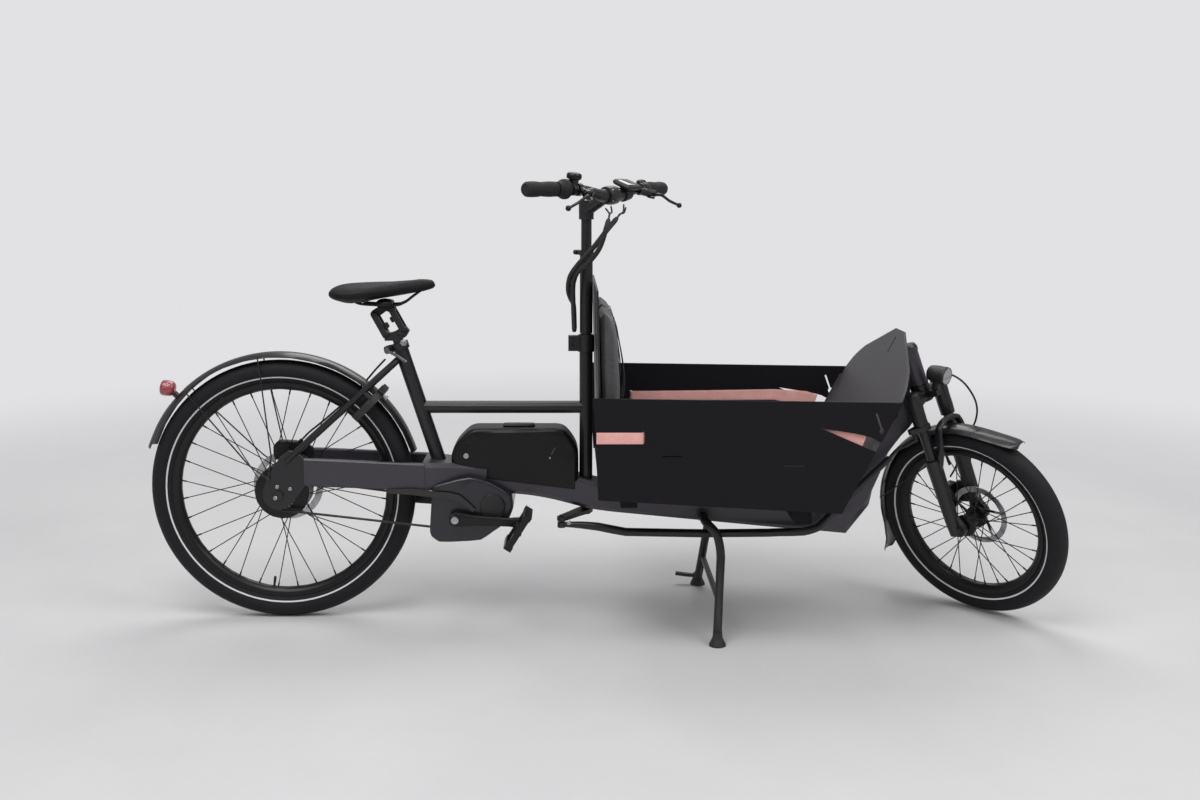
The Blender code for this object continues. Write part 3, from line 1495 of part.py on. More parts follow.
def child_seat():
    """Backrest plate with its bench, and the two padded backs."""
    back = plate([(0.7895, 0.530), (0.7945, 0.530), (0.8055, 0.062), (0.8005, 0.062)], -0.262, 0.262)
    bench_outline = [
        (0.800, 0.170), (1.045, 0.182), (1.060, 0.176), (1.060, 0.166), (1.045, 0.170), (0.800, 0.158),
    ]
    shapes = [back, plate(bench_outline, -0.262, 0.262)]
    for y in (-0.20, 0.20):
        shapes.append(
            plate(
                [(1.030, 0.058), (1.050, 0.057), (1.050, 0.175), (1.030, 0.174)],
                y - 0.004,
                y + 0.004,
            )
        )
    piece("seat_frame", shapes, "black_paint", FRAME, (0, 0, 0), [floor_top()])
    for name, side in (("right_seat_pad", -1), ("left_seat_pad", 1)):
        piece(name, [cushion(side)], "pad", FRAME, (0, 0, 0), (), 50)


def floor_top():
    """A slab whose upper face is just above the floor's, to end legs on it."""
    slope = (BOX_LOW_FRONT[1] - BOX_LOW_REAR[1]) / (BOX_LOW_FRONT[0] - BOX_LOW_REAR[0])
    z = BOX_LOW_REAR[1] + FLOOR_THICK + SEAT_GAP
    return plate(
        [
            (0.70, z + slope * -0.095 - 0.05), (1.30, z + slope * 0.505 - 0.05),
            (1.30, z + slope * 0.505), (0.70, z + slope * -0.095),
        ],
        -0.29,
        0.29,
    )


def cushion(side):
    """One padded back: a flat rear face on the backrest, drawn-in sides and a crowned front.

    With u and v from -1 to 1 over the pad, its thickness is PAD_EDGE + PAD_CROWN (1 - u^4)(1 - v^4),
    more below the middle, where the pad is thickest.
    """
    low, high = PAD_LOW, PAD_HIGH
    rear = Vector((0.8060 - (high - low) * 0.0235, 0, high))
    down = Vector((0.8060, 0, low)) - rear
    forward = Vector((-down.z, 0, down.x)).normalized()
    rings = []
    steps = 6
    for i in range(steps + 1):
        v = -1 + 2 * i / steps
        draw = 1 - 0.05 * v**4
        centre = rear + down * (v + 1) / 2 + Y_AXIS * side * PAD_MIDDLE
        front = []
        for k in range(7):
            u = -1 + 2 * k / 6
            belly = 1 + 0.35 * max(v, 0) * (1 - v * v)
            thick = PAD_EDGE + PAD_CROWN * (1 - u**4) * (1 - v**4) * belly
            front.append(centre + Y_AXIS * PAD_HALF * draw * u + forward * thick)
        ring = [centre + Y_AXIS * PAD_HALF * 0.95 * draw * sign for sign in (-1, 1)]
        rings.append([ring[0], *front, ring[1]])
    return skin(rings)


# Steering column and bars


def column():
    """The turning column with its lower arm, written with the bars straight ahead."""
    shaft = turned(
        [
            (ARM_Z - 0.010, SHAFT_RADIUS),
            (COLUMN_TUBE_TOP + 0.0025, SHAFT_RADIUS),
            (COLUMN_TUBE_TOP + 0.0026, STEERER_RADIUS),
            (0.597, STEERER_RADIUS),
            (0.5975, 0.0185),
            (0.610, 0.0185),
            (0.6105, UPPER_TUBE_RADIUS),
            (0.7315, UPPER_TUBE_RADIUS),
        ],
        (0, 0, 0), Z_AXIS, 10,
    )
    ear = block((-0.036, -0.006, 0.599), (-0.012, 0.006, 0.609), 0.001)
    bolt = tube([(-0.029, -0.010, 0.604), (-0.029, 0.010, 0.604)], 0.0035, 6)
    arm = arm_shape(Vector((0, 0, 0)), Vector((0, -COLUMN_ARM, 0)), ARM_Z, 0.010, 0.0185, 0.0115)
    stud = turned([(ARM_Z - 0.0240, 0.0045), (ARM_Z + 0.009, 0.0055)], (0, -COLUMN_ARM, 0), Z_AXIS, 10)
    piece("steering_column", [shaft, ear, bolt, arm, stud], "black_paint", BARS)


def arm_shape(root, end, z, thick, wide, narrow):
    """A flat lever between two upright axes, with round ends."""
    along = (end - root).normalized()
    across = Vector((-along.y, along.x, 0))
    points = []
    for centre, radius, start in ((end, narrow, 0), (root, wide, 180)):
        for k in range(6):
            angle = math.radians(start + 180 * k / 5)
            points.append(centre + radius * (-across * math.cos(angle) + along * math.sin(angle)))
    return skin(
        [[p + Z_AXIS * (z - thick / 2) for p in points], [p + Z_AXIS * (z + thick / 2) for p in points]]
    )


def bar_point(share, side):
    """A point on the handlebar's centre line, share from the stem to the end."""
    knots = [
        Vector((BAR_REACH, 0, BAR_HEIGHT)),
        Vector((BAR_REACH, side * 0.045, BAR_HEIGHT)),
        Vector((BAR_REACH + 0.003, side * 0.095, BAR_HEIGHT + 0.7 * BAR_RISE)),
        Vector((BAR_REACH - 0.002, side * 0.150, BAR_HEIGHT + BAR_RISE)),
        Vector((BAR_REACH - BAR_BACK, side * BAR_HALF, BAR_HEIGHT + BAR_RISE)),
    ]
    path = smooth(knots, 4)
    lengths = [0.0]
    for a, b in zip(path, path[1:]):
        lengths.append(lengths[-1] + (b - a).length)
    want = share * lengths[-1]
    for a, b, low, high in zip(path, path[1:], lengths, lengths[1:]):
        if want <= high + 1e-9:
            return a + (b - a) * (want - low) / (high - low)
    return path[-1]


def on_bar(side, low, high, profile, sides=20):
    """A turned piece round the bar between two shares of its half, from (share, radius) points."""
    a = bar_point(low, side)
    b = bar_point(high, side)
    length = (b - a).length
    return turned([(length * at, radius) for at, radius in profile], a, b - a, sides)


def bar_shape(grow=0.0):
    """The bent bar, thick where the stem holds it, thinner towards the grips; grown by a gap as a cutter."""
    path = []
    radii = []
    for k in range(-10, 11):
        share = abs(k) / 10
        side = -1 if k < 0 else 1
        point = bar_point(share, side)
        if share == 1:
            point = point + (point - bar_point(0.95, side)).normalized() * grow
        path.append(point)
        thick = BAR_CENTRE_RADIUS if share < 0.13 else BAR_RADIUS
        radii.append((BAR_MIDDLE_RADIUS if 0.13 < share < 0.22 else thick) + grow)
    return tube(path, radii, 8)


def bars():
    """Stem, handlebar and everything on it."""
    clamp = turned([(0.686, 0.0190), (0.7325, 0.0190)], (0, 0, 0), Z_AXIS, 10)
    neck_path = [(0.004, 0, 0.711), (0.035, 0, 0.729), (BAR_REACH - 0.010, 0, BAR_HEIGHT)]
    neck = tube(neck_path, (0.0165, 0.015, 0.0165), 8, 1.15, (0, 0, 1))
    jaw = turned(
        [(-0.0225, 0.0205), (-0.020, 0.0215), (0.020, 0.0215), (0.0225, 0.0205)],
        (BAR_REACH, 0, BAR_HEIGHT),
        Y_AXIS,
        10,
    )
    room = UPPER_TUBE_RADIUS + SEAT_GAP
    column_room = turned([(0.5, room), (0.7315 + SEAT_GAP, room)], (0, 0, 0), Z_AXIS, 10)
    piece("stem", [clamp, neck, jaw], "black_paint", BARS, (0, 0, 0), [column_room, bar_shape(SEAT_GAP)])
    shapes = [bar_shape()]
    for side in (-1, 1):
        shapes += brake_body(side)
    shapes += bell_base()
    shapes += remote()
    piece("handlebar", shapes, "black_paint", BARS, (0, 0, 0), [lever_slot(side) for side in (-1, 1)])
    grips()
    for side in (-1, 1):
        brake_lever(side)
    bell()
    display()


def lever_pivot(side):
    """The brake lever's pivot, in front of the bar and beside its clamp."""
    return bar_point(BRAKE_SHARE, side) + Vector((0.034, side * 0.010, -0.014))


def brake_body(side):
    """Clamp ring and master cylinder of a brake, fused with the bar."""
    at = bar_point(BRAKE_SHARE, side)
    pivot = lever_pivot(side)
    ring = on_bar(side, BRAKE_SHARE - 0.020, BRAKE_SHARE + 0.020, [(0, 0.0155), (1, 0.0155)], 8)
    cylinder = tube(
        [at + Vector((0.018, -side * 0.034, -0.004)), at + Vector((0.026, side * 0.004, -0.010))],
        (0.0085, 0.0105),
        8,
    )
    link = tube([at + Vector((0.006, 0, 0)), at + Vector((0.024, side * 0.002, -0.009))], 0.0085, 8)
    fork = tube([at + Vector((0.024, 0, -0.010)), pivot + Vector((0.004, side * 0.001, 0))], 0.0115, 8)
    return [ring, cylinder, link, fork]


def lever_slot(side):
    """The gap in the brake body where the lever's root turns."""
    pivot = lever_pivot(side)
    return block(
        (pivot.x - 0.0125, min(pivot.y - 0.0125, pivot.y + side * 0.03), pivot.z - 0.0052),
        (pivot.x + 0.03, max(pivot.y + 0.0125, pivot.y + side * 0.03), pivot.z + 0.0052),
    )


def brake_lever(side):
    """The lever: from its pivot it runs outward in front of the grip and ends in a ball."""
    pivot = lever_pivot(side)
    tip = Vector((0.120, side * 0.250, 0.7185))
    path = smooth(
        [
            pivot,
            pivot + Vector((0.012, side * 0.020, -0.001)),
            pivot.lerp(tip, 0.55) + Vector((0.004, 0, 0)),
            tip,
        ],
        2,
    )
    radii = [0.0042 - 0.0006 * k / len(path) for k in range(len(path))]
    bar = tube(path, radii, 6)
    boss = turned([(-0.0045, 0.0075), (0.0045, 0.0075)], pivot, Z_AXIS, 10)
    ball = turned(
        [(-0.0068, 0.002), (-0.0050, 0.0050), (0.0, 0.0070), (0.0050, 0.0050), (0.0068, 0.002)],
        tip,
        tip - pivot,
        7,
    )
    piece("right_brake_lever" if side < 0 else "left_brake_lever", [bar, boss, ball], "alloy", BARS, pivot)


def grips():
    """The two grips and the twist shifter."""
    profile = [
        (0, 0.0150), (0.05, GRIP_RADIUS), (0.5, GRIP_RADIUS - 0.001), (0.95, GRIP_RADIUS),
        (1.016, 0.0130),
    ]
    for name, side, low in (("right_grip", -1, 0.690), ("left_grip", 1, 0.600)):
        piece(name, [on_bar(side, low, 1.0, profile, 10)], "rubber", BARS, (0, 0, 0), [bar_shape(SEAT_GAP)])
    low, high = 0.580, 0.683
    twist = on_bar(
        -1,
        low,
        high,
        [(0, 0.0215), (0.10, 0.0235), (0.45, 0.0225), (0.55, 0.0190), (1.0, 0.0175)],
        10,
    )
    middle = (bar_point(low, -1) + bar_point(high, -1)) / 2
    bore = on_bar(-1, low - 0.02, high + 0.02, [(0, BAR_RADIUS + 0.0012), (1, BAR_RADIUS + 0.0012)], 12)
    piece("twist_shifter", [twist], "rubber", BARS, middle, [bore])


def bell_base():
    """Ring and round foot of the bell, fused with the bar."""
    ring = on_bar(-1, BELL_SHARE - 0.020, BELL_SHARE + 0.020, [(0, 0.0150), (1, 0.0150)], 8)
    foot = turned([(0.010, 0.0110), (0.0225, 0.0125)], bar_point(BELL_SHARE, -1), BELL_UP, 10)
    return [ring, foot]


def bell():
    """The bell's dome, which is turned to ring it."""
    outline = [(0.0229, 0.0140), (0.0250, 0.0175), (0.0330, 0.0180), (0.0375, 0.0150), (0.0390, 0.008)]
    at = bar_point(BELL_SHARE, -1)
    piece("bell", [turned(outline, at, BELL_UP, 14)], "alloy", BARS, at + BELL_UP * 0.023)


def display():
    """The display on its clamp beside the stem."""
    low, high = 0.170, 0.250
    ring = on_bar(1, low, high, [(0, 0.0185), (1, 0.0185)], 10)
    at = bar_point((low + high) / 2, 1)
    turn = Matrix.Translation(
        at + Vector((0.004, 0.004, 0.021))
    ) @ Matrix.Rotation(math.radians(22), 4, "Y")
    case = moved(block((-0.026, -0.032, -0.0055), (0.026, 0.032, 0.0075), 0.005), turn)
    neck = tube([at + Vector((0, 0, 0.010)), at + Vector((0.004, 0.004, 0.022))], 0.012, 8)
    piece("display", [ring, neck, case], "black_plastic", BARS, (0, 0, 0), [bar_shape(SEAT_GAP)])


def remote():
    """The thumb remote beside the left grip, fused with the bar."""
    low, high = 0.500, 0.580
    ring = on_bar(1, low, high, [(0, 0.0150), (0.1, 0.0165), (1, 0.0165)], 8)
    at = bar_point((low + high) / 2, 1)
    pad = moved(block((-0.018, -0.012, 0.002), (0.002, 0.012, 0.022), 0.004), Matrix.Translation(at))
    return [ring, pad]


def cable_bundle():
    """Two wrapped cable bundles that leave the bars, cross and fall beside the column."""
    first = [
        (0.092, -0.052, 0.7230), (0.112, -0.070, 0.6960), (0.110, -0.080, 0.6650),
        (0.088, -0.074, 0.6200), (0.050, -0.064, 0.5840), (0.010, -0.051, 0.5600),
        (-0.008, -0.042, 0.5380), (-0.0165, -0.0345, 0.5150), (-0.0215, -0.0257, 0.4700),
        (-0.0199, -0.0237, 0.4060),
    ]
    second = [
        (0.100, 0.020, 0.7210), (0.100, -0.010, 0.6950), (0.088, -0.045, 0.6600),
        (0.056, -0.060, 0.6150), (0.014, -0.056, 0.5780), (-0.018, -0.046, 0.5450),
        (-0.034, -0.030, 0.5100), (-0.0345, -0.0160, 0.4850), (-0.0324, -0.0087, 0.4700),
        (-0.0299, -0.0080, 0.4060),
    ]
    shapes = [tube(smooth(route, 2), 0.0062, 5) for route in (first, second)]
    shapes.append(turned([(-0.004, 0.0195), (0.004, 0.0195)], (0, 0, 0.470), Z_AXIS, 10))
    for tie in (Vector((-0.0215, -0.0257, 0)), Vector((-0.0324, -0.0087, 0))):
        up = Z_AXIS * 0.470
        shapes.append(tube([tie.normalized() * 0.0160 + up, tie + up], 0.0038, 6))
    room = turned(
        [(0.40, STEERER_RADIUS + SEAT_GAP), (0.58, STEERER_RADIUS + SEAT_GAP)],
        (0, 0, 0),
        Z_AXIS,
        10,
    )
    piece("cable_bundle", shapes, "rubber", BARS, (0, 0, 0), [room])


# Fork and front wheel, along the steering axis


def fork_arm_length():
    """The fork's lever, such that the tie rod has one length at both ends of the steering."""
    gap = head_point(FORK_ARM_HEIGHT) - Vector((COLUMN_X, 0, ROD_Z))
    bar = math.radians(BAR_TURN)
    turn = math.radians(FORK_TURN)
    return COLUMN_ARM * math.sin(bar) * gap.x / (
        math.sin(turn) * (gap.x * math.cos(TILT) + gap.z * math.sin(TILT))
    )


def fork():
    """Fork crown with its steerer, stanchions and steering lever, and the sprung lower legs."""
    cap = HEAD_TUBE_RADIUS + 0.001
    shapes = [
        turned(
            [(CROWN_LOW + 0.008, FORK_STEERER_RADIUS), (HEAD_HIGH + 0.004, FORK_STEERER_RADIUS)],
            (0, 0, 0),
            Z_AXIS,
            10,
        ),
        turned([(HEAD_HIGH + 0.0010, cap), (HEAD_HIGH + 0.008, cap - 0.004)], (0, 0, 0), Z_AXIS, 14),
        turned([(CROWN_LOW + 0.004, cap), (HEAD_LOW - 0.0010, cap)], (0, 0, 0), Z_AXIS, 14),
    ]
    for side in (-1, 1):
        leg = Vector((FORK_LEG_AHEAD, side * FORK_LEG_SPREAD, 0))
        shoulder = [
            (0, 0, (CROWN_LOW + CROWN_HIGH) / 2 - 0.001),
            (FORK_LEG_AHEAD * 0.6, side * 0.030, CROWN_HIGH - 0.024),
            leg + Vector((0, 0, CROWN_LOW + 0.014)),
        ]
        shapes.append(tube(shoulder, (0.0215, 0.0195, 0.0175), 8, 1.0, (1, 0, 0)))
        sleeve = [
            (SLEEVE_LOW, SLEEVE_RADIUS),
            (CROWN_HIGH - 0.004, SLEEVE_RADIUS + 0.001),
            (CROWN_HIGH, SLEEVE_RADIUS - 0.003),
        ]
        shapes.append(turned(sleeve, leg, Z_AXIS, 10))
        shapes.append(
            turned([(0.075, STANCHION_RADIUS), (SLEEVE_LOW + 0.01, STANCHION_RADIUS)], leg, Z_AXIS, 10)
        )
    arm = fork_arm_length()
    root = Vector((FORK_LEG_AHEAD, -FORK_LEG_SPREAD, 0))
    end = Vector((0, -arm, 0))
    lug_z = SLEEVE_LOW + 0.008
    shapes.append(arm_shape(root, end + Vector((-0.001, -0.004, 0)), lug_z, 0.012, 0.0215, 0.0095))
    boot = [(FORK_ARM_HEIGHT + ROD_EYE_HALF + RUN_GAP, 0.0070), (lug_z, 0.0048)]
    shapes.append(turned(boot, end, Z_AXIS, 10))
    shapes.append(block((0.018, -0.010, CROWN_HIGH - 0.030), (0.052, 0.010, CROWN_HIGH - 0.014)))
    piece("fork_upper", shapes, "black_paint", FORK)
    fork_lowers()


def fork_lowers():
    """The sprung lower legs with their dropouts, the axle between them and the arch over the mudguard."""
    lowers = []
    slide = []
    for side in (-1, 1):
        leg = Vector((FORK_LEG_AHEAD, side * FORK_LEG_SPREAD, 0))
        profile = [(-0.012, 0.0150), (0.030, 0.0175), (LOWER_LEG_TOP, LOWER_LEG_RADIUS + 0.0010)]
        lowers.append(turned(profile, leg, Z_AXIS, 10))
        low, high = sorted((side * 0.0500, side * (FORK_LEG_SPREAD + 0.004)))
        outline = [
            (0.004, 0.030), (0.002, -0.004), (0.018, -0.018), (0.036, -0.017), (0.047, -0.004),
            (0.045, 0.010), (0.030, 0.036),
        ]
        lowers.append(plate(outline, low, high))
        lowers.append(
            turned(
                [(0, 0.0095), (0.008, 0.0085)],
                (FORK_OFFSET, side * (FORK_LEG_SPREAD + 0.003), 0),
                Y_AXIS * side,
                8,
            )
        )
        bore = STANCHION_RADIUS + RUN_GAP
        reach = [(0.075 - FORK_TRAVEL - 0.003, bore), (LOWER_LEG_TOP + 0.02, bore)]
        slide.append(turned(reach, leg, Z_AXIS, 10))
    lowers.append(
        turned(
            [(-FORK_LEG_SPREAD, FRONT_AXLE_RADIUS), (FORK_LEG_SPREAD, FRONT_AXLE_RADIUS)],
            (FORK_OFFSET, 0, 0),
            Y_AXIS,
            8,
        )
    )
    arch = []
    reach = FRONT_MUDGUARD_RADIUS + 0.012
    for y, ahead, z in (
        (-FORK_LEG_SPREAD, FORK_LEG_AHEAD + 0.012, LOWER_LEG_TOP - 0.024),
        (-FORK_LEG_SPREAD + 0.003, FORK_LEG_AHEAD + 0.030, LOWER_LEG_TOP + 0.020),
        (-FORK_LEG_SPREAD + 0.016, FORK_LEG_AHEAD + 0.035, reach - 0.008),
        (-0.022, FORK_LEG_AHEAD + 0.035, reach + 0.001),
        (0.0, FORK_LEG_AHEAD + 0.034, reach + 0.002),
    ):
        arch.append(Vector((ahead, y, z)))
    arch = arch + [Vector((p.x, -p.y, p.z)) for p in reversed(arch[:-1])]
    lowers.append(tube(arch, 0.0098, 8, 0.72, (1, 0, 0)))
    mount = [
        (0.004, 0.090), (0.004, 0.030), (-0.020, 0.032), (-0.024, 0.040), (-0.024, 0.080),
        (-0.018, 0.090),
    ]
    lowers.append(plate(mount, 0.0505, 0.0600))
    piece("fork_lowers", lowers, "black_paint", FORK, (0, 0, 0), slide)


def fork_details():
    """Front lamp, mudguard, caliper and hose."""
    level = Vector((math.cos(TILT), 0, -math.sin(TILT)))
    lamp = Vector((0.066, 0, 0.401))
    body = turned(
        [(-0.026, 0.014), (-0.020, 0.0195), (0.012, 0.0225), (0.020, 0.0235), (0.026, 0.0225)],
        lamp,
        level,
        12,
    )
    foot = tube([(0.058, 0, 0.384), (0.040, 0, CROWN_HIGH - 0.014 + SEAT_GAP)], (0.009, 0.008), 8)
    piece(
        "front_lamp",
        [body, foot],
        "black_plastic",
        FORK,
        (0, 0, 0),
        [block((0.0, -0.02, 0.30), (0.06, 0.02, CROWN_HIGH - 0.014 + SEAT_GAP))],
    )

    hub = (FORK_OFFSET, 0, 0)
    guard = hoop(mudguard_section(FRONT_MUDGUARD_RADIUS), hub, -Y_AXIS, 11, 68, 110, (1, 0, 0))
    ahead = mudguard_tail(68, 0.118, 0.0, 1)
    behind = mudguard_tail(178, 0.088, 0.40, -1)
    wires = []
    out = math.radians(160)
    edge = FRONT_MUDGUARD_RADIUS - 0.0115
    for side in (-1, 1):
        tip = Vector(
            (FORK_OFFSET + edge * math.cos(out), side * (MUDGUARD_HALF + 0.0006), edge * math.sin(out))
        )
        root = Vector((FORK_LEG_AHEAD - 0.008, side * (FORK_LEG_SPREAD - LOWER_LEG_RADIUS - 0.0041), 0.186))
        wires.append(tube([root, tip], 0.0022, 4))
    piece(
        "front_mudguard", [guard, ahead, behind, *wires], "black_plastic", FORK, (0, 0, 0),
        fork_leg_room(),
    )

    low = FRONT_ROTOR_Y - 0.0115
    outline = [
        (-0.058, 0.026), (-0.024 - SEAT_GAP, 0.026), (-0.024 - SEAT_GAP, 0.086), (-0.044, 0.092),
        (-0.060, 0.070),
    ]
    body = bevelled(plate(outline, low, 0.0600), 0.003)
    slot_half = ROTOR_THICK / 2 + RUN_GAP
    y = FRONT_ROTOR_Y
    ring = FRONT_ROTOR_RADIUS + 0.002
    slot = hoop(
        [(y - slot_half, 0.02), (y + slot_half, 0.02), (y + slot_half, ring), (y - slot_half, ring)],
        hub,
        Y_AXIS,
        20,
    )
    piece("front_caliper", [body], "black_paint", FORK, (0, 0, 0), [slot])
    route = [
        (0.046, 0.030, 0.392), (0.078, 0.034, 0.386), (0.104, 0.038, 0.360), (0.116, 0.043, 0.320),
        (0.112, 0.048, 0.285), (0.090, 0.058, 0.250), (0.052, 0.075, 0.215), (0.020, 0.0845, 0.185),
        (-0.006, 0.0835, 0.150), (-0.026, 0.075, 0.118), (-0.040, 0.060, 0.0985),
    ]
    piece("front_brake_hose", [tube(route, 0.0025, 5)], "rubber", FORK)


def fork_leg_room():
    """The space of the lower legs, which the mudguard's wires end against."""
    return [
        turned(
            [(0.0, LOWER_LEG_RADIUS + 0.0003), (LOWER_LEG_TOP + 0.005, LOWER_LEG_RADIUS + 0.0018)],
            (FORK_LEG_AHEAD, side * FORK_LEG_SPREAD, 0),
            Z_AXIS,
            10,
        )
        for side in (-1, 1)
    ]


def mudguard_tail(angle, length, flare, direction):
    """A straight end of the front mudguard that leaves its arc, direction -1 at the back."""
    out = math.radians(angle)
    radial = Vector((math.cos(out), 0, math.sin(out)))
    run = Vector((math.sin(out), 0, -math.cos(out))) * direction
    hub = Vector((FORK_OFFSET, 0, 0))
    rings = []
    for share, narrow in ((-0.02, 1.0), (0.5, 0.98), (0.85, 0.9), (1.0, 0.6)):
        ring = []
        for across, radius in mudguard_section(FRONT_MUDGUARD_RADIUS):
            lift = flare * length * share * share
            ring.append(hub + radial * (radius + lift) + run * length * share + Y_AXIS * across * narrow)
        rings.append(ring)
    return skin(rings)


def front_wheel_parts():
    """Tyre, laced wheel and rotor of the front wheel, about its axle in the fork."""
    axle = Vector((FORK_OFFSET, 0, 0))
    bore = FRONT_AXLE_RADIUS + RUN_GAP
    hub = hoop(
        [
            (-0.0405, bore), (0.0330, bore), (0.0330, 0.0200), (0.0265, 0.0290), (0.0190, 0.0290),
            (0.0165, 0.0165), (-0.0260, 0.0165), (-0.0290, 0.0290), (-0.0365, 0.0290),
            (-0.0405, 0.0190),
        ],
        axle,
        Y_AXIS,
        16,
    )
    rim = hoop(rim_section(FRONT_BEAD_RADIUS), axle, Y_AXIS, SPOKES)
    straight = spokes(FRONT_BEAD_RADIUS, (-0.0327, 0.0272), (0.0227, 0.0272), FRONT_CROSS)
    lacing = [moved(spoke, Matrix.Translation(axle)) for spoke in straight]
    tyre = hoop(tyre_section(FRONT_BEAD_RADIUS), axle, Y_AXIS, SPOKES)
    piece("front_tyre", [tyre], "tyre", FORK, axle)
    piece("front_wheel", [rim, hub, *lacing], "black_paint", FORK, axle)
    rotor("front_rotor", FRONT_ROTOR_RADIUS, FRONT_ROTOR_Y, 0.0130, FORK, axle)


# Tie rod, hose under the box and stand


def tie_rod_ends():
    """Where the rod's eyes sit at rest: on the column's stud and on the fork's."""
    turn = math.radians(BAR_TURN)
    start = Vector((COLUMN_X - COLUMN_ARM * math.sin(turn), -COLUMN_ARM * math.cos(turn), ROD_Z))
    arm = fork_arm_length()
    steer = math.radians(FORK_TURN)
    return start, head_point(FORK_ARM_HEIGHT, -arm * math.sin(steer), -arm * math.cos(steer))


def tie_rod():
    """The rod from the column's lever to the fork's: low beside the beam, then up beside the riser."""
    start, end = tie_rod_ends()
    y = start.y
    path = [start + Vector((0.008, 0, 0)), start + Vector((0.030, 0.001, -0.0005))]
    for x, out, fall in (
        (0.800, 0.001, 0.0060),
        (0.870, 0.001, 0.0200),
        (1.060, 0.001, 0.0240),
        (1.200, 0.004, 0.0240),
        (1.320, 0.007, 0.0220),
        (1.360, 0.009, 0.0100),
        (1.430, 0.012, -0.0650),
        (1.535, 0.018, -0.1660),
    ):
        path.append(Vector((x, y + out, ROD_Z - fall)))
    radii = [0.0062, 0.0080] + [ROD_RADIUS] * 6 + [0.0095, 0.0080]
    body = tube(path, radii, 8)
    reach = [
        path[-1], (1.556, y + 0.020, ROD_Z + 0.189), end + Vector((-0.022, -0.002, -0.014)),
        end + Vector((-0.004, 0, -0.004)),
    ]
    thin = tube(reach, 0.0050, 6)
    rear_eye = turned([(-0.0065, 0.0105), (0.0065, 0.0105)], start, Z_AXIS, 10)
    socket = [(-ROD_EYE_HALF, 0.0058), (ROD_EYE_HALF - 0.003, 0.0067), (ROD_EYE_HALF, 0.0060)]
    front_eye = turned(socket, end, STEER_AXIS, 10)
    hole = turned([(-0.03, 0.0055 + RUN_GAP), (0.03, 0.0055 + RUN_GAP)], start, Z_AXIS, 12)
    piece("tie_rod", [body, thin, rear_eye, front_eye], "black_paint", FRAME, start, [hole])


def stand():
    """The two-legged stand: cross tube in the beam's sleeve, bent legs, low cross bar, feet, kick peg."""
    floor_z = -REAR_RADIUS
    half = []
    for x, y, z in (
        (STAND_X, 0.045, STAND_PIVOT_Z),
        (STAND_X, 0.108, STAND_PIVOT_Z),
        (STAND_X + 0.008, 0.127, STAND_PIVOT_Z - 0.006),
        (STAND_X + 0.026, 0.139, STAND_PIVOT_Z - 0.026),
        (STAND_X + 0.035, 0.152, STAND_PIVOT_Z - 0.080),
        (STAND_FOOT_X + 0.001, STAND_FOOT_Y - 0.012, floor_z + 0.030),
        (STAND_FOOT_X, STAND_FOOT_Y, floor_z + 0.010),
    ):
        half.append(Vector((x, y, z)))
    right = [Vector((p.x, -p.y, p.z)) for p in reversed(half)]
    shapes = [tube(right + half, STAND_TUBE_RADIUS, 8)]
    bar_x = STAND_X + 0.029
    shapes.append(tube([(bar_x, -0.199, floor_z + 0.092), (bar_x, 0.199, floor_z + 0.092)], 0.0075, 6))
    for side in (-1, 1):
        foot = (STAND_FOOT_X, side * STAND_FOOT_Y, floor_z)
        shapes.append(
            turned([(0, 0.021), (0.004, 0.0205), (0.020, 0.0130), (0.034, 0.0120)], foot, Z_AXIS, 10)
        )
    peg_z = floor_z + 0.026
    peg = [
        (STAND_FOOT_X, STAND_FOOT_Y - 0.004, peg_z),
        (STAND_FOOT_X - 0.028, STAND_FOOT_Y + 0.004, peg_z),
        (STAND_FOOT_X - 0.062, STAND_FOOT_Y + 0.006, peg_z + 0.004),
    ]
    shapes.append(tube(peg, 0.0062, 6))
    piece("stand", shapes, "alloy", FRAME, STAND_PIVOT)


# Assembly


def front_reach():
    """How far forward the turned front tyre reaches, from the rear axle."""
    turn = math.radians(FORK_TURN)
    ahead = FORK_OFFSET * math.cos(turn)
    centre = STEER_FOOT.x + ahead * math.cos(TILT)
    ring = FRONT_BEAD_RADIUS + TYRE_WIDTH / 2
    across = math.hypot(math.cos(turn) * math.cos(TILT), math.sin(TILT))
    return centre + ring * across + TYRE_WIDTH / 2


def rear_reach():
    """How far back the bike reaches from the rear axle: its lamp, its mudguard's end or its tyre."""
    lamp = (REAR_MUDGUARD_RADIUS + LAMP_FOOT + LAMP_MIDDLE) * math.cos(math.radians(LAMP_ANGLE))
    end = math.radians(sum(REAR_MUDGUARD_SPAN))
    guard = (REAR_MUDGUARD_RADIUS - MUDGUARD_CROWN / 4) * math.cos(end)
    return max(LAMP_DEPTH - lamp, -guard, REAR_RADIUS)


def build():
    """Clears the scene and builds every piece."""
    global LOOKS, FRAME, BARS, FORK
    for old in list(bpy.data.objects):
        bpy.data.objects.remove(old)
    LOOKS = finishes()
    middle = (front_reach() - rear_reach()) / 2
    FRAME = empty("rear_axle", None, (-middle, 0, REAR_RADIUS))
    BARS = empty("column_axis", FRAME, (COLUMN_X, 0, 0), Quaternion(Z_AXIS, math.radians(-BAR_TURN)))
    lean = Quaternion(Y_AXIS, -TILT)
    FORK = empty("steering_axis", FRAME, STEER_FOOT, lean @ Quaternion(Z_AXIS, math.radians(-FORK_TURN)))
    main_beam()
    front_riser()
    upper_frame()
    rear_wheel_parts()
    drive()
    seat()
    rear_mudguard()
    ring_lock()
    rear_brake()
    battery()
    box()
    child_seat()
    column()
    bars()
    cable_bundle()
    fork()
    fork_details()
    front_wheel_parts()
    tie_rod()
    stand()


build()
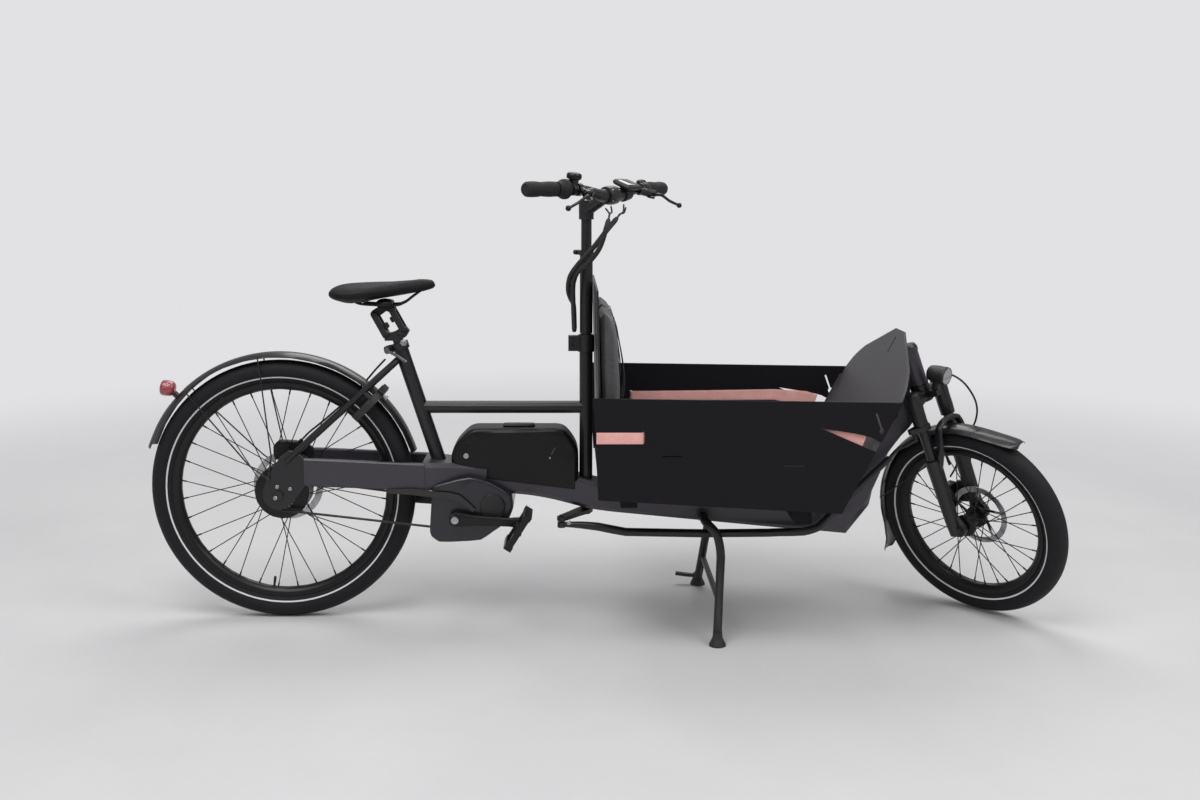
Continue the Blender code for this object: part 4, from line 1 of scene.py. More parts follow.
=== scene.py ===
"""Looks of a front-loading electric cargo bike: finishes, padded backs, webbing, hoses and a plain studio.

Metres, +X forward, +Y to the rider's left, +Z up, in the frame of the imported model. Each solid of the
model is shown as a finer surface through the same points, and small pieces, padding, webbing and cords
are added on it.
"""

import json
import math

import bpy
import numpy as np
from mathutils import Matrix, Vector
from mathutils.bvhtree import BVHTree

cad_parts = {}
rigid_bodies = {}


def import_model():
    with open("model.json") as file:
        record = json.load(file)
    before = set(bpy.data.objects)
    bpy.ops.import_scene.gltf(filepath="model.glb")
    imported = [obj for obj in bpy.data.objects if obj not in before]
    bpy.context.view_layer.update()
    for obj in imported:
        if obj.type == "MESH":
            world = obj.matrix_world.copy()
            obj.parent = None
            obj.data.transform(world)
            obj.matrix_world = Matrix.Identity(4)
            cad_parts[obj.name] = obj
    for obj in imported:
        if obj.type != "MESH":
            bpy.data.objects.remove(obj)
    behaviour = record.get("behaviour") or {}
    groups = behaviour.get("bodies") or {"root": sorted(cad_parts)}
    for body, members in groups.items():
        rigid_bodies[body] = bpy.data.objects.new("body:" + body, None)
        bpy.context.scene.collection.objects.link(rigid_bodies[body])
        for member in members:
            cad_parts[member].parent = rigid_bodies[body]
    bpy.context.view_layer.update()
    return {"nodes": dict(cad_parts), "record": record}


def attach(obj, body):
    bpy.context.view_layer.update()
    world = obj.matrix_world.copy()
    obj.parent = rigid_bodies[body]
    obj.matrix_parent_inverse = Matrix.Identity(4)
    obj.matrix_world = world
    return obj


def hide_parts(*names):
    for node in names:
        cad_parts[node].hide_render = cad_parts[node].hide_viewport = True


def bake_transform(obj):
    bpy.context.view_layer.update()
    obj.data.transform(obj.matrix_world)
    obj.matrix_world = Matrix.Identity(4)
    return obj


for old in list(bpy.data.objects):
    bpy.data.objects.remove(old)
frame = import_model()

# Places that the pieces are built round, in metres
REAR_AXLE = Vector((-0.811905, 0.0, 0.3345))
COLUMN_FOOT = Vector((-0.041905, 0.0, 0.3345))
STEER_FOOT = Vector((0.937905, 0.0, 0.247739))
STEER_TILT = math.radians(20.0)
BAR_TURN = math.radians(35.0)
FORK_TURN = math.radians(49.0)

# The frame's own place, with its origin on the rear axle; the bars', turned to the right about the
# column; and the fork's, tilted back and then turned about the steering axis
FRAME_PLACE = Matrix.Translation(REAR_AXLE)
BARS_PLACE = Matrix.Translation(COLUMN_FOOT) @ Matrix.Rotation(-BAR_TURN, 4, "Z")
FORK_TILTED = Matrix.Translation(STEER_FOOT) @ Matrix.Rotation(-STEER_TILT, 4, "Y")
FORK_PLACE = FORK_TILTED @ Matrix.Rotation(-FORK_TURN, 4, "Z")


def linked(name, data):
    """An object for the data, in the scene."""
    obj = bpy.data.objects.new(name, data)
    bpy.context.scene.collection.objects.link(obj)
    return obj


# The camera, matched to the photograph: its place, its axes and its lens
CAMERA_AT = Vector((-0.0890, -3.1807, 1.1129))
CAMERA_RIGHT = Vector((0.99967, -0.02526, 0.00421))
CAMERA_UP = Vector((0.00013, 0.16956, 0.98552))
CAMERA_AHEAD = Vector((0.02561, 0.98520, -0.16951))
LENS_MM = 38.1
SENSOR_MM = 36.0
CAMERA_REACH = 60


def camera():
    """A camera at the photograph's viewing angle."""
    data = bpy.data.cameras.new("camera")
    data.lens = LENS_MM
    data.sensor_width = SENSOR_MM
    data.clip_end = CAMERA_REACH
    obj = linked("camera", data)
    rows = Matrix((CAMERA_RIGHT, CAMERA_UP, -CAMERA_AHEAD)).transposed().to_4x4()
    obj.matrix_world = Matrix.Translation(CAMERA_AT) @ rows
    bpy.context.scene.camera = obj


camera()


# Shader building

GROUP_SOCKETS = {"v": "NodeSocketVector", "f": "NodeSocketFloat", "c": "NodeSocketColor"}


def feed(tree, node, **sockets):
    """Links or plain values for a node's inputs, which go by their names, or as _0 or _1 by their places."""
    for name, value in sockets.items():
        socket = node.inputs[int(name[1:])] if name[0] == "_" else node.inputs[name.replace("_", " ")]
        if isinstance(value, bpy.types.NodeSocket):
            tree.links.new(value, socket)
        else:
            socket.default_value = value


def add(tree, kind, settings=None, **sockets):
    """A shader node: settings are its attributes, and sockets are values or links for its inputs."""
    node = tree.nodes.new("ShaderNode" + kind)
    for key, value in (settings or {}).items():
        setattr(node, key, value)
    feed(tree, node, **sockets)
    return node


def maths(tree, operation, first, second=0.0, third=0.0):
    """The result of one math node."""
    return add(tree, "Math", {"operation": operation}, _0=first, _1=second, _2=third).outputs[0]


def mixed(tree, share, first, second):
    """Two colours, mixed by a share."""
    return add(tree, "Mix", {"data_type": "RGBA"}, _0=share, _6=first, _7=second).outputs[2]


def shaded(tree, color, value):
    """A colour, lighter or darker by the factor value."""
    return add(tree, "HueSaturation", Value=value, Color=color).outputs[0]


def ranged(tree, value, low, high, to_low=0.0, to_high=1.0):
    """A value mapped smoothly from one range to another."""
    settings = {"interpolation_type": "SMOOTHSTEP"}
    return add(tree, "MapRange", settings, _0=value, _1=low, _2=high, _3=to_low, _4=to_high).outputs[0]


def noise(tree, vector, scale, detail, **more):
    """Cloudy noise about 0.5, with scale clouds to the metre and detail rounds of finer ones over them."""
    return add(tree, "TexNoise", _0=vector, Scale=scale, Detail=detail, **more).outputs[0]


def relief(tree, height, distance, **more):
    """A normal bent by the slope of height times distance."""
    return add(tree, "Bump", Distance=distance, Height=height, **more).outputs[0]


def distance_from_middle(tree, vector):
    """The length of a vector."""
    return add(tree, "VectorMath", {"operation": "LENGTH"}, _0=vector).outputs["Value"]


def group(name, inputs, outputs):
    """An empty node group with named inputs and outputs: its tree, what it is given, and its end node."""
    tree = bpy.data.node_groups.new(name, "ShaderNodeTree")
    for label, kind, value in inputs:
        socket = tree.interface.new_socket(label, in_out="INPUT", socket_type=GROUP_SOCKETS[kind])
        socket.default_value = value
    for label, kind in outputs:
        tree.interface.new_socket(label, in_out="OUTPUT", socket_type=GROUP_SOCKETS[kind])
    start = tree.nodes.new("NodeGroupInput")
    return tree, start.outputs, tree.nodes.new("NodeGroupOutput")


def use(tree, made, **sockets):
    """The outputs of a placed node group with its values or links."""
    return add(tree, "Group", {"node_tree": made}, **sockets).outputs


def grain_group():
    """Fine relief as a bumped normal over soft edges: fine noise, and wide noise times Coarse."""
    inputs = [
        ("Vector", "v", (0, 0, 0)), ("Scale", "f", 900.0), ("Depth", "f", 0.00003),
        ("Coarse", "f", 0.35), ("Edge", "f", 0.0006),
    ]
    tree, given, end = group("grain", inputs, [("Normal", "v")])
    fine = noise(tree, given["Vector"], given["Scale"], 2.0)
    broad = noise(tree, given["Vector"], maths(tree, "MULTIPLY", given["Scale"], 0.18), 1.0)
    height = maths(tree, "MULTIPLY_ADD", broad, given["Coarse"], fine)
    soft = add(tree, "Bevel", {"samples": 4}, Radius=given["Edge"]).outputs[0]
    feed(tree, end, Normal=relief(tree, height, given["Depth"], Strength=1.0, Normal=soft))
    return tree


def wear_group():
    """A mask of rubbed edges: where the rounded normal leaves the true one, broken up by noise."""
    inputs = [
        ("Vector", "v", (0, 0, 0)), ("Width", "f", 0.0012), ("Amount", "f", 0.5), ("Scale", "f", 90.0),
    ]
    tree, given, end = group("edge wear", inputs, [("Mask", "f")])
    soft = add(tree, "Bevel", {"samples": 4}, Radius=given["Width"]).outputs[0]
    true = add(tree, "NewGeometry").outputs["Normal"]
    same = add(tree, "VectorMath", {"operation": "DOT_PRODUCT"}, _0=soft, _1=true).outputs["Value"]
    edge = ranged(tree, same, 0.995, 0.86)
    patch = noise(tree, given["Vector"], given["Scale"], 5.0, Roughness=0.7)
    rubbed = maths(tree, "MULTIPLY", edge, ranged(tree, patch, 0.46, 0.66))
    feed(tree, end, Mask=maths(tree, "MULTIPLY", rubbed, given["Amount"]))
    return tree


def dust_group():
    """A base colour with cloudy variation and a thin dust that settles on faces that look up.

    The dust's share is Amount times specks of noise, times 0.15 on upright faces and 1 on lying ones. It
    makes the surface rougher.
    """
    inputs = [
        ("Vector", "v", (0, 0, 0)), ("Base", "c", (0.02, 0.02, 0.02, 1)),
        ("Dust", "c", (0.30, 0.29, 0.28, 1)), ("Amount", "f", 0.10), ("Cloud", "f", 0.12),
        ("Roughness", "f", 0.4), ("Spread", "f", 0.12),
    ]
    tree, given, end = group("dust", inputs, [("Color", "c"), ("Roughness", "f")])
    broad = noise(tree, given["Vector"], 7.0, 4.0, Roughness=0.6)
    fine = noise(tree, given["Vector"], 160.0, 3.0, Roughness=0.65)
    cloud = maths(tree, "MULTIPLY", maths(tree, "SUBTRACT", broad, 0.5), given["Cloud"])
    shade = shaded(tree, given["Base"], maths(tree, "ADD", cloud, 1.0))
    up = add(tree, "SeparateXYZ", _0=add(tree, "TexCoord").outputs["Normal"]).outputs[2]
    lying = ranged(tree, up, 0.15, 0.95)
    both = maths(tree, "MULTIPLY_ADD", fine, 0.6, maths(tree, "MULTIPLY", broad, 0.4))
    speck = ranged(tree, both, 0.40, 0.68)
    share = maths(tree, "MULTIPLY", maths(tree, "MULTIPLY_ADD", lying, 0.85, 0.15), speck)
    mask = maths(tree, "MULTIPLY", share, given["Amount"])
    swing = maths(tree, "MULTIPLY", maths(tree, "SUBTRACT", fine, 0.5), given["Spread"])
    rough = maths(tree, "ADD", given["Roughness"], swing)
    dusty = maths(tree, "ADD", rough, maths(tree, "MULTIPLY", mask, 0.4))
    feed(tree, end, Color=mixed(tree, mask, shade, given["Dust"]), Roughness=dusty)
    return tree


def ring_group():
    """A ring about the Y axis of the vector given: 1 between two radii, with soft sides, and the radius."""
    inputs = [("Vector", "v", (0, 0, 0)), ("Low", "f", 0.2), ("High", "f", 0.3), ("Blur", "f", 0.0004)]
    tree, given, end = group("ring", inputs, [("Mask", "f"), ("Radius", "f")])
    parts = add(tree, "SeparateXYZ", _0=given["Vector"]).outputs
    flat = add(tree, "CombineXYZ", _0=parts[0], _1=0.0, _2=parts[2]).outputs[0]
    radius = distance_from_middle(tree, flat)
    inner = maths(tree, "DIVIDE", maths(tree, "SUBTRACT", radius, given["Low"]), given["Blur"])
    outer = maths(tree, "DIVIDE", maths(tree, "SUBTRACT", given["High"], radius), given["Blur"])
    mask = add(tree, "Clamp", _0=maths(tree, "MINIMUM", inner, outer)).outputs[0]
    feed(tree, end, Mask=mask, Radius=radius)
    return tree


def weave_group():
    """A plain weave from two crossed waves: threads over and under, in turns, with loose fibre, and a
    painted shade that is darker where the threads dip under.
    """
    inputs = [
        ("Vector", "v", (0, 0, 0)), ("Across", "f", 400.0), ("Along", "f", 400.0), ("Fibre", "f", 0.3),
    ]
    tree, given, end = group("weave", inputs, [("Height", "f"), ("Shade", "f")])
    parts = add(tree, "SeparateXYZ", _0=given["Vector"]).outputs
    warp = maths(tree, "SINE", maths(tree, "MULTIPLY", parts[0], given["Across"]))
    weft = maths(tree, "SINE", maths(tree, "MULTIPLY", parts[1], given["Along"]))
    over = maths(tree, "MULTIPLY", warp, weft)
    fibre = noise(tree, given["Vector"], 2600.0, 3.0, Roughness=0.7)
    loose = maths(tree, "MULTIPLY", maths(tree, "SUBTRACT", fibre, 0.5), given["Fibre"])
    height = maths(tree, "ADD", maths(tree, "MULTIPLY_ADD", over, 0.5, 0.5), loose)
    # Painted shade: 0.72 plus 0.45 times the height, so the colour is darker where the threads dip under.
    feed(tree, end, Height=height, Shade=maths(tree, "MULTIPLY_ADD", height, 0.45, 0.72))
    return tree


GRAIN = grain_group()
WEAR = wear_group()
DUST = dust_group()
RING = ring_group()
WEAVE = weave_group()

FINISHES = {}


def blank(name):
    """A material that is listed among the finishes: its tree, its Principled shader, Object coordinates."""
    made = bpy.data.materials.new(name)
    made.use_nodes = True
    FINISHES[name] = made
    tree = made.node_tree
    return tree, tree.nodes["Principled BSDF"], add(tree, "TexCoord").outputs["Object"]


def own_map(tree, name):
    """The coordinates of a piece's own UV map."""
    return add(tree, "UVMap", {"uv_map": name}).outputs[0]


def finish(name, base, rough, metal, dust, cloud, grain, depth, coat=0.0, coat_rough=0.1, edge=0.0006,
           wear=0.0, bare=(0.35, 0.35, 0.36), specular=0.5):
    """A paint, plastic, rubber or metal: dusty colour, fine relief, soft edges and, if asked, rub."""
    tree, shader, place = blank(name)
    dusty = use(tree, DUST, Vector=place, Base=(*base, 1), Amount=dust, Cloud=cloud, Roughness=rough)
    normal = use(tree, GRAIN, Vector=place, Scale=grain, Depth=depth, Edge=edge)["Normal"]
    color = dusty["Color"]
    if wear:
        mask = use(tree, WEAR, Vector=place, Amount=wear)["Mask"]
        color = mixed(tree, mask, color, (*bare, 1))
    feed(tree, shader, Base_Color=color, Roughness=dusty["Roughness"], Normal=normal, Metallic=metal,
         Coat_Weight=coat, Coat_Roughness=coat_rough, Specular_IOR_Level=specular)


def wheel_space(tree, place, centre, turn):
    """Object coordinates carried into a wheel's own frame, with its axle along Y."""
    settings = {"vector_type": "TEXTURE"}
    return add(tree, "Mapping", settings, _0=place, Location=centre, Rotation=turn).outputs[0]


def tyre_finish(name, centre, turn, stripe):
    """Black tyre rubber: fine ribs on the side, grey dust on the tread and a pale ring on each side.

    The ring lies between the stripe's two radii, and the ribs are a sine of the radius just outside it.
    """
    tree, shader, place = blank(name)
    local = wheel_space(tree, place, centre, turn)
    ring = use(tree, RING, Vector=local, Low=stripe[0], High=stripe[1])
    rubber = (0.0130, 0.0115, 0.0135, 1)
    dusty = use(tree, DUST, Vector=place, Base=rubber, Amount=0.02, Cloud=0.3, Roughness=0.62)
    tread = ranged(tree, ring["Radius"], stripe[1] + 0.026, stripe[1] + 0.038, 0.0, 0.16)
    worn = mixed(tree, tread, dusty["Color"], (0.034, 0.031, 0.032, 1))
    color = mixed(tree, ring["Mask"], worn, (0.72, 0.72, 0.73, 1))
    rough = maths(tree, "SUBTRACT", dusty["Roughness"], maths(tree, "MULTIPLY", ring["Mask"], 0.32))
    ribs = maths(tree, "SINE", maths(tree, "MULTIPLY", ring["Radius"], 5200.0))
    side = use(tree, RING, Vector=local, Low=stripe[1] + 0.001, High=stripe[1] + 0.012, Blur=0.002)["Mask"]
    grain = use(tree, GRAIN, Vector=place, Scale=700.0, Depth=0.00005, Edge=0.0004)["Normal"]
    normal = relief(tree, maths(tree, "MULTIPLY", ribs, side), 0.00012, Normal=grain)
    feed(tree, shader, Base_Color=color, Roughness=rough, Normal=normal, Specular_IOR_Level=0.22)


def disc_finish(name, base, rough, centre, turn, carrier):
    """A brake disc of turned steel, with fine rings about its axle, and its black carrier in the middle."""
    tree, shader, place = blank(name)
    radius = use(tree, RING, Vector=wheel_space(tree, place, centre, turn))["Radius"]
    lines = add(tree, "TexNoise", {"noise_dimensions": "1D"}, W=radius, Scale=2600.0, Detail=3.0).outputs[0]
    dusty = use(tree, DUST, Vector=place, Base=(*base, 1), Amount=0.05, Cloud=0.2, Roughness=rough)
    steel = shaded(tree, dusty["Color"], maths(tree, "MULTIPLY_ADD", lines, 0.5, 0.72))
    black = ranged(tree, radius, carrier, carrier + 0.0008, 1.0, 0.0)
    color = mixed(tree, black, steel, (0.012, 0.012, 0.013, 1))
    feed(tree, shader, Base_Color=color, Roughness=maths(tree, "MULTIPLY_ADD", lines, 0.15, rough - 0.05),
         Normal=relief(tree, lines, 0.00004), Metallic=maths(tree, "SUBTRACT", 1.0, black))


def felt_finish(name):
    """Grey melange wool felt: short fibre in lighter and darker tufts, over broad clouds."""
    tree, shader, place = blank(name)
    spots = noise(tree, place, 900.0, 6.0, Roughness=0.75)
    broad = noise(tree, place, 26.0, 3.0)
    tuft = ranged(tree, spots, 0.32, 0.70)
    color = mixed(tree, tuft, (0.030, 0.029, 0.031, 1), (0.135, 0.132, 0.138, 1))
    worn = mixed(tree, ranged(tree, broad, 0.35, 0.75, 0.0, 0.35), color, (0.055, 0.054, 0.057, 1))
    normal = relief(tree, maths(tree, "MULTIPLY_ADD", broad, 0.5, spots), 0.0006)
    feed(tree, shader, Base_Color=worn, Normal=normal, Roughness=0.95, Sheen_Weight=0.35,
         Sheen_Roughness=0.5, Specular_IOR_Level=0.2)


def webbing_finish(name, base, pale):
    """Flat webbing, read from its own UV map in metres: crossed threads with painted shade where they dip
    under, faded in clouds.
    """
    tree, shader, _ = blank(name)
    place = own_map(tree, "webbing")
    weave = use(tree, WEAVE, Vector=place, Across=5200.0, Along=3600.0, Fibre=0.5)
    cloud = noise(tree, place, 30.0, 4.0)
    # The weave's painted shade, darker where the threads dip under, times a cloudy tone.
    shade = maths(tree, "MULTIPLY", weave["Shade"], maths(tree, "MULTIPLY_ADD", cloud, 0.25, 0.90))
    tinted = mixed(tree, ranged(tree, cloud, 0.45, 0.75, 0.0, 0.35), (*base, 1), (*pale, 1))
    feed(tree, shader, Base_Color=shaded(tree, tinted, shade), Normal=relief(tree, weave["Height"], 0.0003),
         Roughness=0.8, Sheen_Weight=0.2, Specular_IOR_Level=0.25)


def sleeve_finish(name):
    """A braided cable sleeve: two crossed sets of strands in the UV map of its tube, with painted highlight
    on the strands' tops and painted shade between them.

    u runs once round it and v along it in metres. A strand is a sine of 14 pi u + 1500 v or of
    14 pi u - 1500 v, whichever is higher.
    """
    tree, shader, _ = blank(name)
    parts = add(tree, "SeparateXYZ", _0=own_map(tree, "sleeve")).outputs
    turn = maths(tree, "MULTIPLY", parts[0], 2 * math.pi * 7)
    rise = maths(tree, "MULTIPLY", parts[1], 1500.0)
    right = maths(tree, "SINE", maths(tree, "ADD", turn, rise))
    left = maths(tree, "SINE", maths(tree, "SUBTRACT", turn, rise))
    strand = maths(tree, "MAXIMUM", right, left)
    # Painted light: the colour is lighter on the strands' tops and darker between them.
    color = mixed(tree, ranged(tree, strand, -0.2, 0.9), (0.006, 0.006, 0.007, 1), (0.034, 0.034, 0.036, 1))
    feed(tree, shader, Base_Color=color, Normal=relief(tree, strand, 0.0004), Roughness=0.55)


def ribbed_finish(name, base, centre, turn, pitch, depth):
    """Soft rubber with rings across a bar: a sine along the bar's own axis, over a fine grain."""
    tree, shader, place = blank(name)
    along = add(tree, "SeparateXYZ", _0=wheel_space(tree, place, centre, turn)).outputs[1]
    rings = maths(tree, "SINE", maths(tree, "MULTIPLY", along, 2 * math.pi / pitch))
    dusty = use(tree, DUST, Vector=place, Base=(*base, 1), Amount=0.10, Roughness=0.7)
    grain = use(tree, GRAIN, Vector=place, Scale=1400.0, Depth=0.00008)["Normal"]
    feed(tree, shader, Base_Color=dusty["Color"], Roughness=dusty["Roughness"],
         Normal=relief(tree, rings, depth, Normal=grain), Specular_IOR_Level=0.3)


def lens_finish(name, base, rough=0.06):
    """Clear moulded plastic with a fine grid of prisms behind a gloss front, with painted shade that darkens
    each prism towards its edges.
    """
    tree, shader, place = blank(name)
    grid = {"distance": "MANHATTAN"}
    prism = add(tree, "TexVoronoi", grid, _0=place, Scale=420.0, Randomness=0.0).outputs["Distance"]
    # Painted shade: each prism darkens to 0.45 of the base colour towards its edges.
    color = mixed(tree, ranged(tree, prism, 0.15, 0.8), (*base, 1), (*[c * 0.45 for c in base], 1))
    feed(tree, shader, Base_Color=color, Normal=relief(tree, prism, 0.0004), Roughness=rough,
         Coat_Weight=1.0, Coat_Roughness=0.03)


# Finishes

REAR_STRIPE = (0.2903, 0.2942)
FRONT_STRIPE = (0.2138, 0.2177)
REAR_HUB = tuple(REAR_AXLE)
FRONT_HUB = (0.956399, -0.022641, 0.254471)
UPRIGHT = (0.0, 0.0, 0.0)
FORK_ANGLES = tuple(FORK_PLACE.to_euler("XYZ"))
BAR_ANGLES = (0.0, 0.0, -BAR_TURN)
DISC_STEEL = (0.50, 0.50, 0.51)
RIB_PITCH = 0.0045
RIB_DEPTH = 0.0005

# Each paint, plastic, rubber and metal: its base colour, roughness, metal, dust, clouds, grains to the
# metre and their depth in metres, and what sets it apart from a plain finish
finish("beam_paint", (0.046, 0.041, 0.052), 0.42, 0.35, 0.04, 0.10, 2200.0, 0.000012,
       coat=0.35, coat_rough=0.22, edge=0.0012, wear=0.25, bare=(0.16, 0.155, 0.17))
finish("motor_paint", (0.016, 0.0140, 0.0205), 0.38, 0.30, 0.015, 0.08, 2400.0, 0.00001,
       coat=0.45, coat_rough=0.16, edge=0.0014)
finish("frame_paint", (0.0085, 0.0078, 0.0095), 0.40, 0.0, 0.01, 0.10, 1500.0, 0.00003,
       coat=0.15, coat_rough=0.3)
finish("rim_paint", (0.0060, 0.0056, 0.0066), 0.36, 0.0, 0.01, 0.10, 1500.0, 0.00002,
       coat=0.1, coat_rough=0.25, specular=0.3)
finish("moulded", (0.015, 0.015, 0.0165), 0.52, 0.0, 0.08, 0.10, 1100.0, 0.00006)
finish("guard_gloss", (0.0065, 0.0060, 0.0072), 0.34, 0.0, 0.015, 0.10, 600.0, 0.00001,
       coat=0.4, coat_rough=0.12, edge=0.0010)
finish("battery_shell", (0.0045, 0.0042, 0.0052), 0.40, 0.0, 0.015, 0.08, 1900.0, 0.00002,
       coat=0.12, coat_rough=0.2, edge=0.0016, specular=0.25)
finish("laminate", (0.0100, 0.0088, 0.0115), 0.55, 0.0, 0.01, 0.12, 1800.0, 0.00002,
       edge=0.0008, wear=0.35, bare=(0.045, 0.043, 0.047), specular=0.15)
finish("front_laminate", (0.066, 0.062, 0.068), 0.52, 0.0, 0.02, 0.10, 1800.0, 0.00002,
       edge=0.0008, wear=0.3, bare=(0.15, 0.148, 0.15))
finish("soft_rubber", (0.014, 0.0135, 0.0145), 0.70, 0.0, 0.04, 0.15, 900.0, 0.00008)
finish("hose_rubber", (0.012, 0.012, 0.013), 0.45, 0.0, 0.03, 0.05, 1200.0, 0.00001)
finish("dark_alloy", (0.16, 0.16, 0.165), 0.36, 0.9, 0.06, 0.15, 1800.0, 0.00002,
       wear=0.4, bare=(0.55, 0.55, 0.56))
finish("stand_alloy", (0.045, 0.045, 0.047), 0.44, 0.6, 0.14, 0.35, 700.0, 0.00005,
       edge=0.0012, wear=0.9, bare=(0.42, 0.42, 0.43))
finish("black_alloy", (0.014, 0.014, 0.015), 0.33, 0.5, 0.05, 0.10, 1800.0, 0.00001, wear=0.3)
finish("spoke_steel", (0.020, 0.020, 0.021), 0.38, 0.6, 0.03, 0.1, 1500.0, 0.00001)
finish("bolt_steel", (0.46, 0.46, 0.47), 0.30, 1.0, 0.05, 0.2, 1500.0, 0.00002)
finish("black_steel", (0.03, 0.03, 0.031), 0.35, 0.8, 0.06, 0.2, 1500.0, 0.00002)
finish("saddle_skin", (0.0070, 0.0066, 0.0076), 0.60, 0.0, 0.01, 0.10, 620.0, 0.00018, specular=0.25)
tyre_finish("rear_tyre_rubber", REAR_HUB, UPRIGHT, REAR_STRIPE)
tyre_finish("front_tyre_rubber", FRONT_HUB, FORK_ANGLES, FRONT_STRIPE)
disc_finish("rear_disc", DISC_STEEL, 0.28, REAR_HUB, UPRIGHT, 0.058)
disc_finish("front_disc", DISC_STEEL, 0.28, FRONT_HUB, FORK_ANGLES, 0.050)
ribbed_finish("grip_rubber", (0.018, 0.018, 0.019), tuple(COLUMN_FOOT), BAR_ANGLES, RIB_PITCH, RIB_DEPTH)
finish("belt_rubber", (0.025, 0.024, 0.023), 0.66, 0.0, 0.22, 0.2, 900.0, 0.00006)
felt_finish("grey_felt")
webbing_finish("coral_webbing", (0.98, 0.50, 0.45), (0.99, 0.66, 0.62))
webbing_finish("black_webbing", (0.022, 0.022, 0.023), (0.045, 0.045, 0.047))
sleeve_finish("braided_sleeve")
lens_finish("red_lens", (0.60, 0.075, 0.105))
lens_finish("clear_lens", (0.55, 0.56, 0.58), 0.04)
finish("screen_glass", (0.006, 0.006, 0.007), 0.08, 0.0, 0.02, 0.05, 400.0, 0.000002,
       coat=1.0, coat_rough=0.03)


# Finer surfaces through the solids' own points

SMOOTH_ANGLE = math.radians(50)
SKIN_ANGLE = math.radians(32)
STRAIGHT_RUN = 0.075

# Triangles lie in one plane where their normals agree in steps of 1/250 and their places in 1/8000 m
NORMAL_STEPS = 250
PLACE_STEPS = 8000


def points_of(mesh):
    """A mesh's points, a row each."""
    points = np.empty(len(mesh.vertices) * 3)
    mesh.vertices.foreach_get("co", points)
    return points.reshape(-1, 3)


def welded(name):
    """A solid's points without doubles, and its triangles on them."""
    mesh = frame["nodes"][name].data
    mesh.calc_loop_triangles()
    faces = np.empty(len(mesh.loop_triangles) * 3, int)
    mesh.loop_triangles.foreach_get("vertices", faces)
    points, index = np.unique(np.round(points_of(mesh), 6), axis=0, return_inverse=True)
    faces = index.reshape(-1)[faces].reshape(-1, 3)
    keep = (faces[:, 0] != faces[:, 1]) & (faces[:, 1] != faces[:, 2]) & (faces[:, 2] != faces[:, 0])
    return points, faces[keep]


def unit(vectors):
    """Vectors of length one; those of no length stay zero."""
    length = np.linalg.norm(vectors, axis=-1, keepdims=True)
    return vectors / np.maximum(length, 1e-12)


def corner_normals(points, faces, angle, by_area):
    """A normal for each corner: the mean of the flat faces that meet there, within an angle of its own.

    Triangles of one plane count as one flat face. Each weighs by its angle at the corner and, where
    asked, by its area, which keeps wide faces flat beside narrow bevels.
    """
    corners = points[faces]
    cross = np.cross(corners[:, 1] - corners[:, 0], corners[:, 2] - corners[:, 0])
    area = np.linalg.norm(cross, axis=1) / 2
    normal = unit(cross)
    offset = np.einsum("ij,ij->i", normal, corners[:, 0])
    plane = np.round(np.column_stack([normal * NORMAL_STEPS, offset * PLACE_STEPS])).astype(np.int64)
    _, flat = np.unique(plane, axis=0, return_inverse=True)
    flat = flat.reshape(-1)
    flat_area = np.bincount(flat, area)[flat]
    back = corners[:, [2, 0, 1]] - corners
    ahead = corners[:, [1, 2, 0]] - corners
    spread = np.arccos(np.clip(np.einsum("ijk,ijk->ij", unit(back), unit(ahead)), -1, 1))
    weight = (spread * flat_area[:, None] if by_area else spread).reshape(-1)
    vertex = faces.reshape(-1)
    face = np.repeat(np.arange(len(faces)), 3)
    order = np.argsort(vertex, kind="stable")
    count = np.bincount(vertex, minlength=len(points))
    first = np.concatenate([[0], np.cumsum(count)])[:-1]
    result = np.zeros((len(vertex), 3))
    limit = math.cos(angle)
    for step in range(int(count.max())):
        has = step < count[vertex]
        other = order[np.minimum(first[vertex] + step, len(order) - 1)]
        near = np.einsum("ij,ij->i", normal[face], normal[face[other]]) > limit
        share = np.where(has & near, weight[other], 0)
        result += normal[face[other]] * share[:, None]
    return unit(result).reshape(-1, 3, 3)


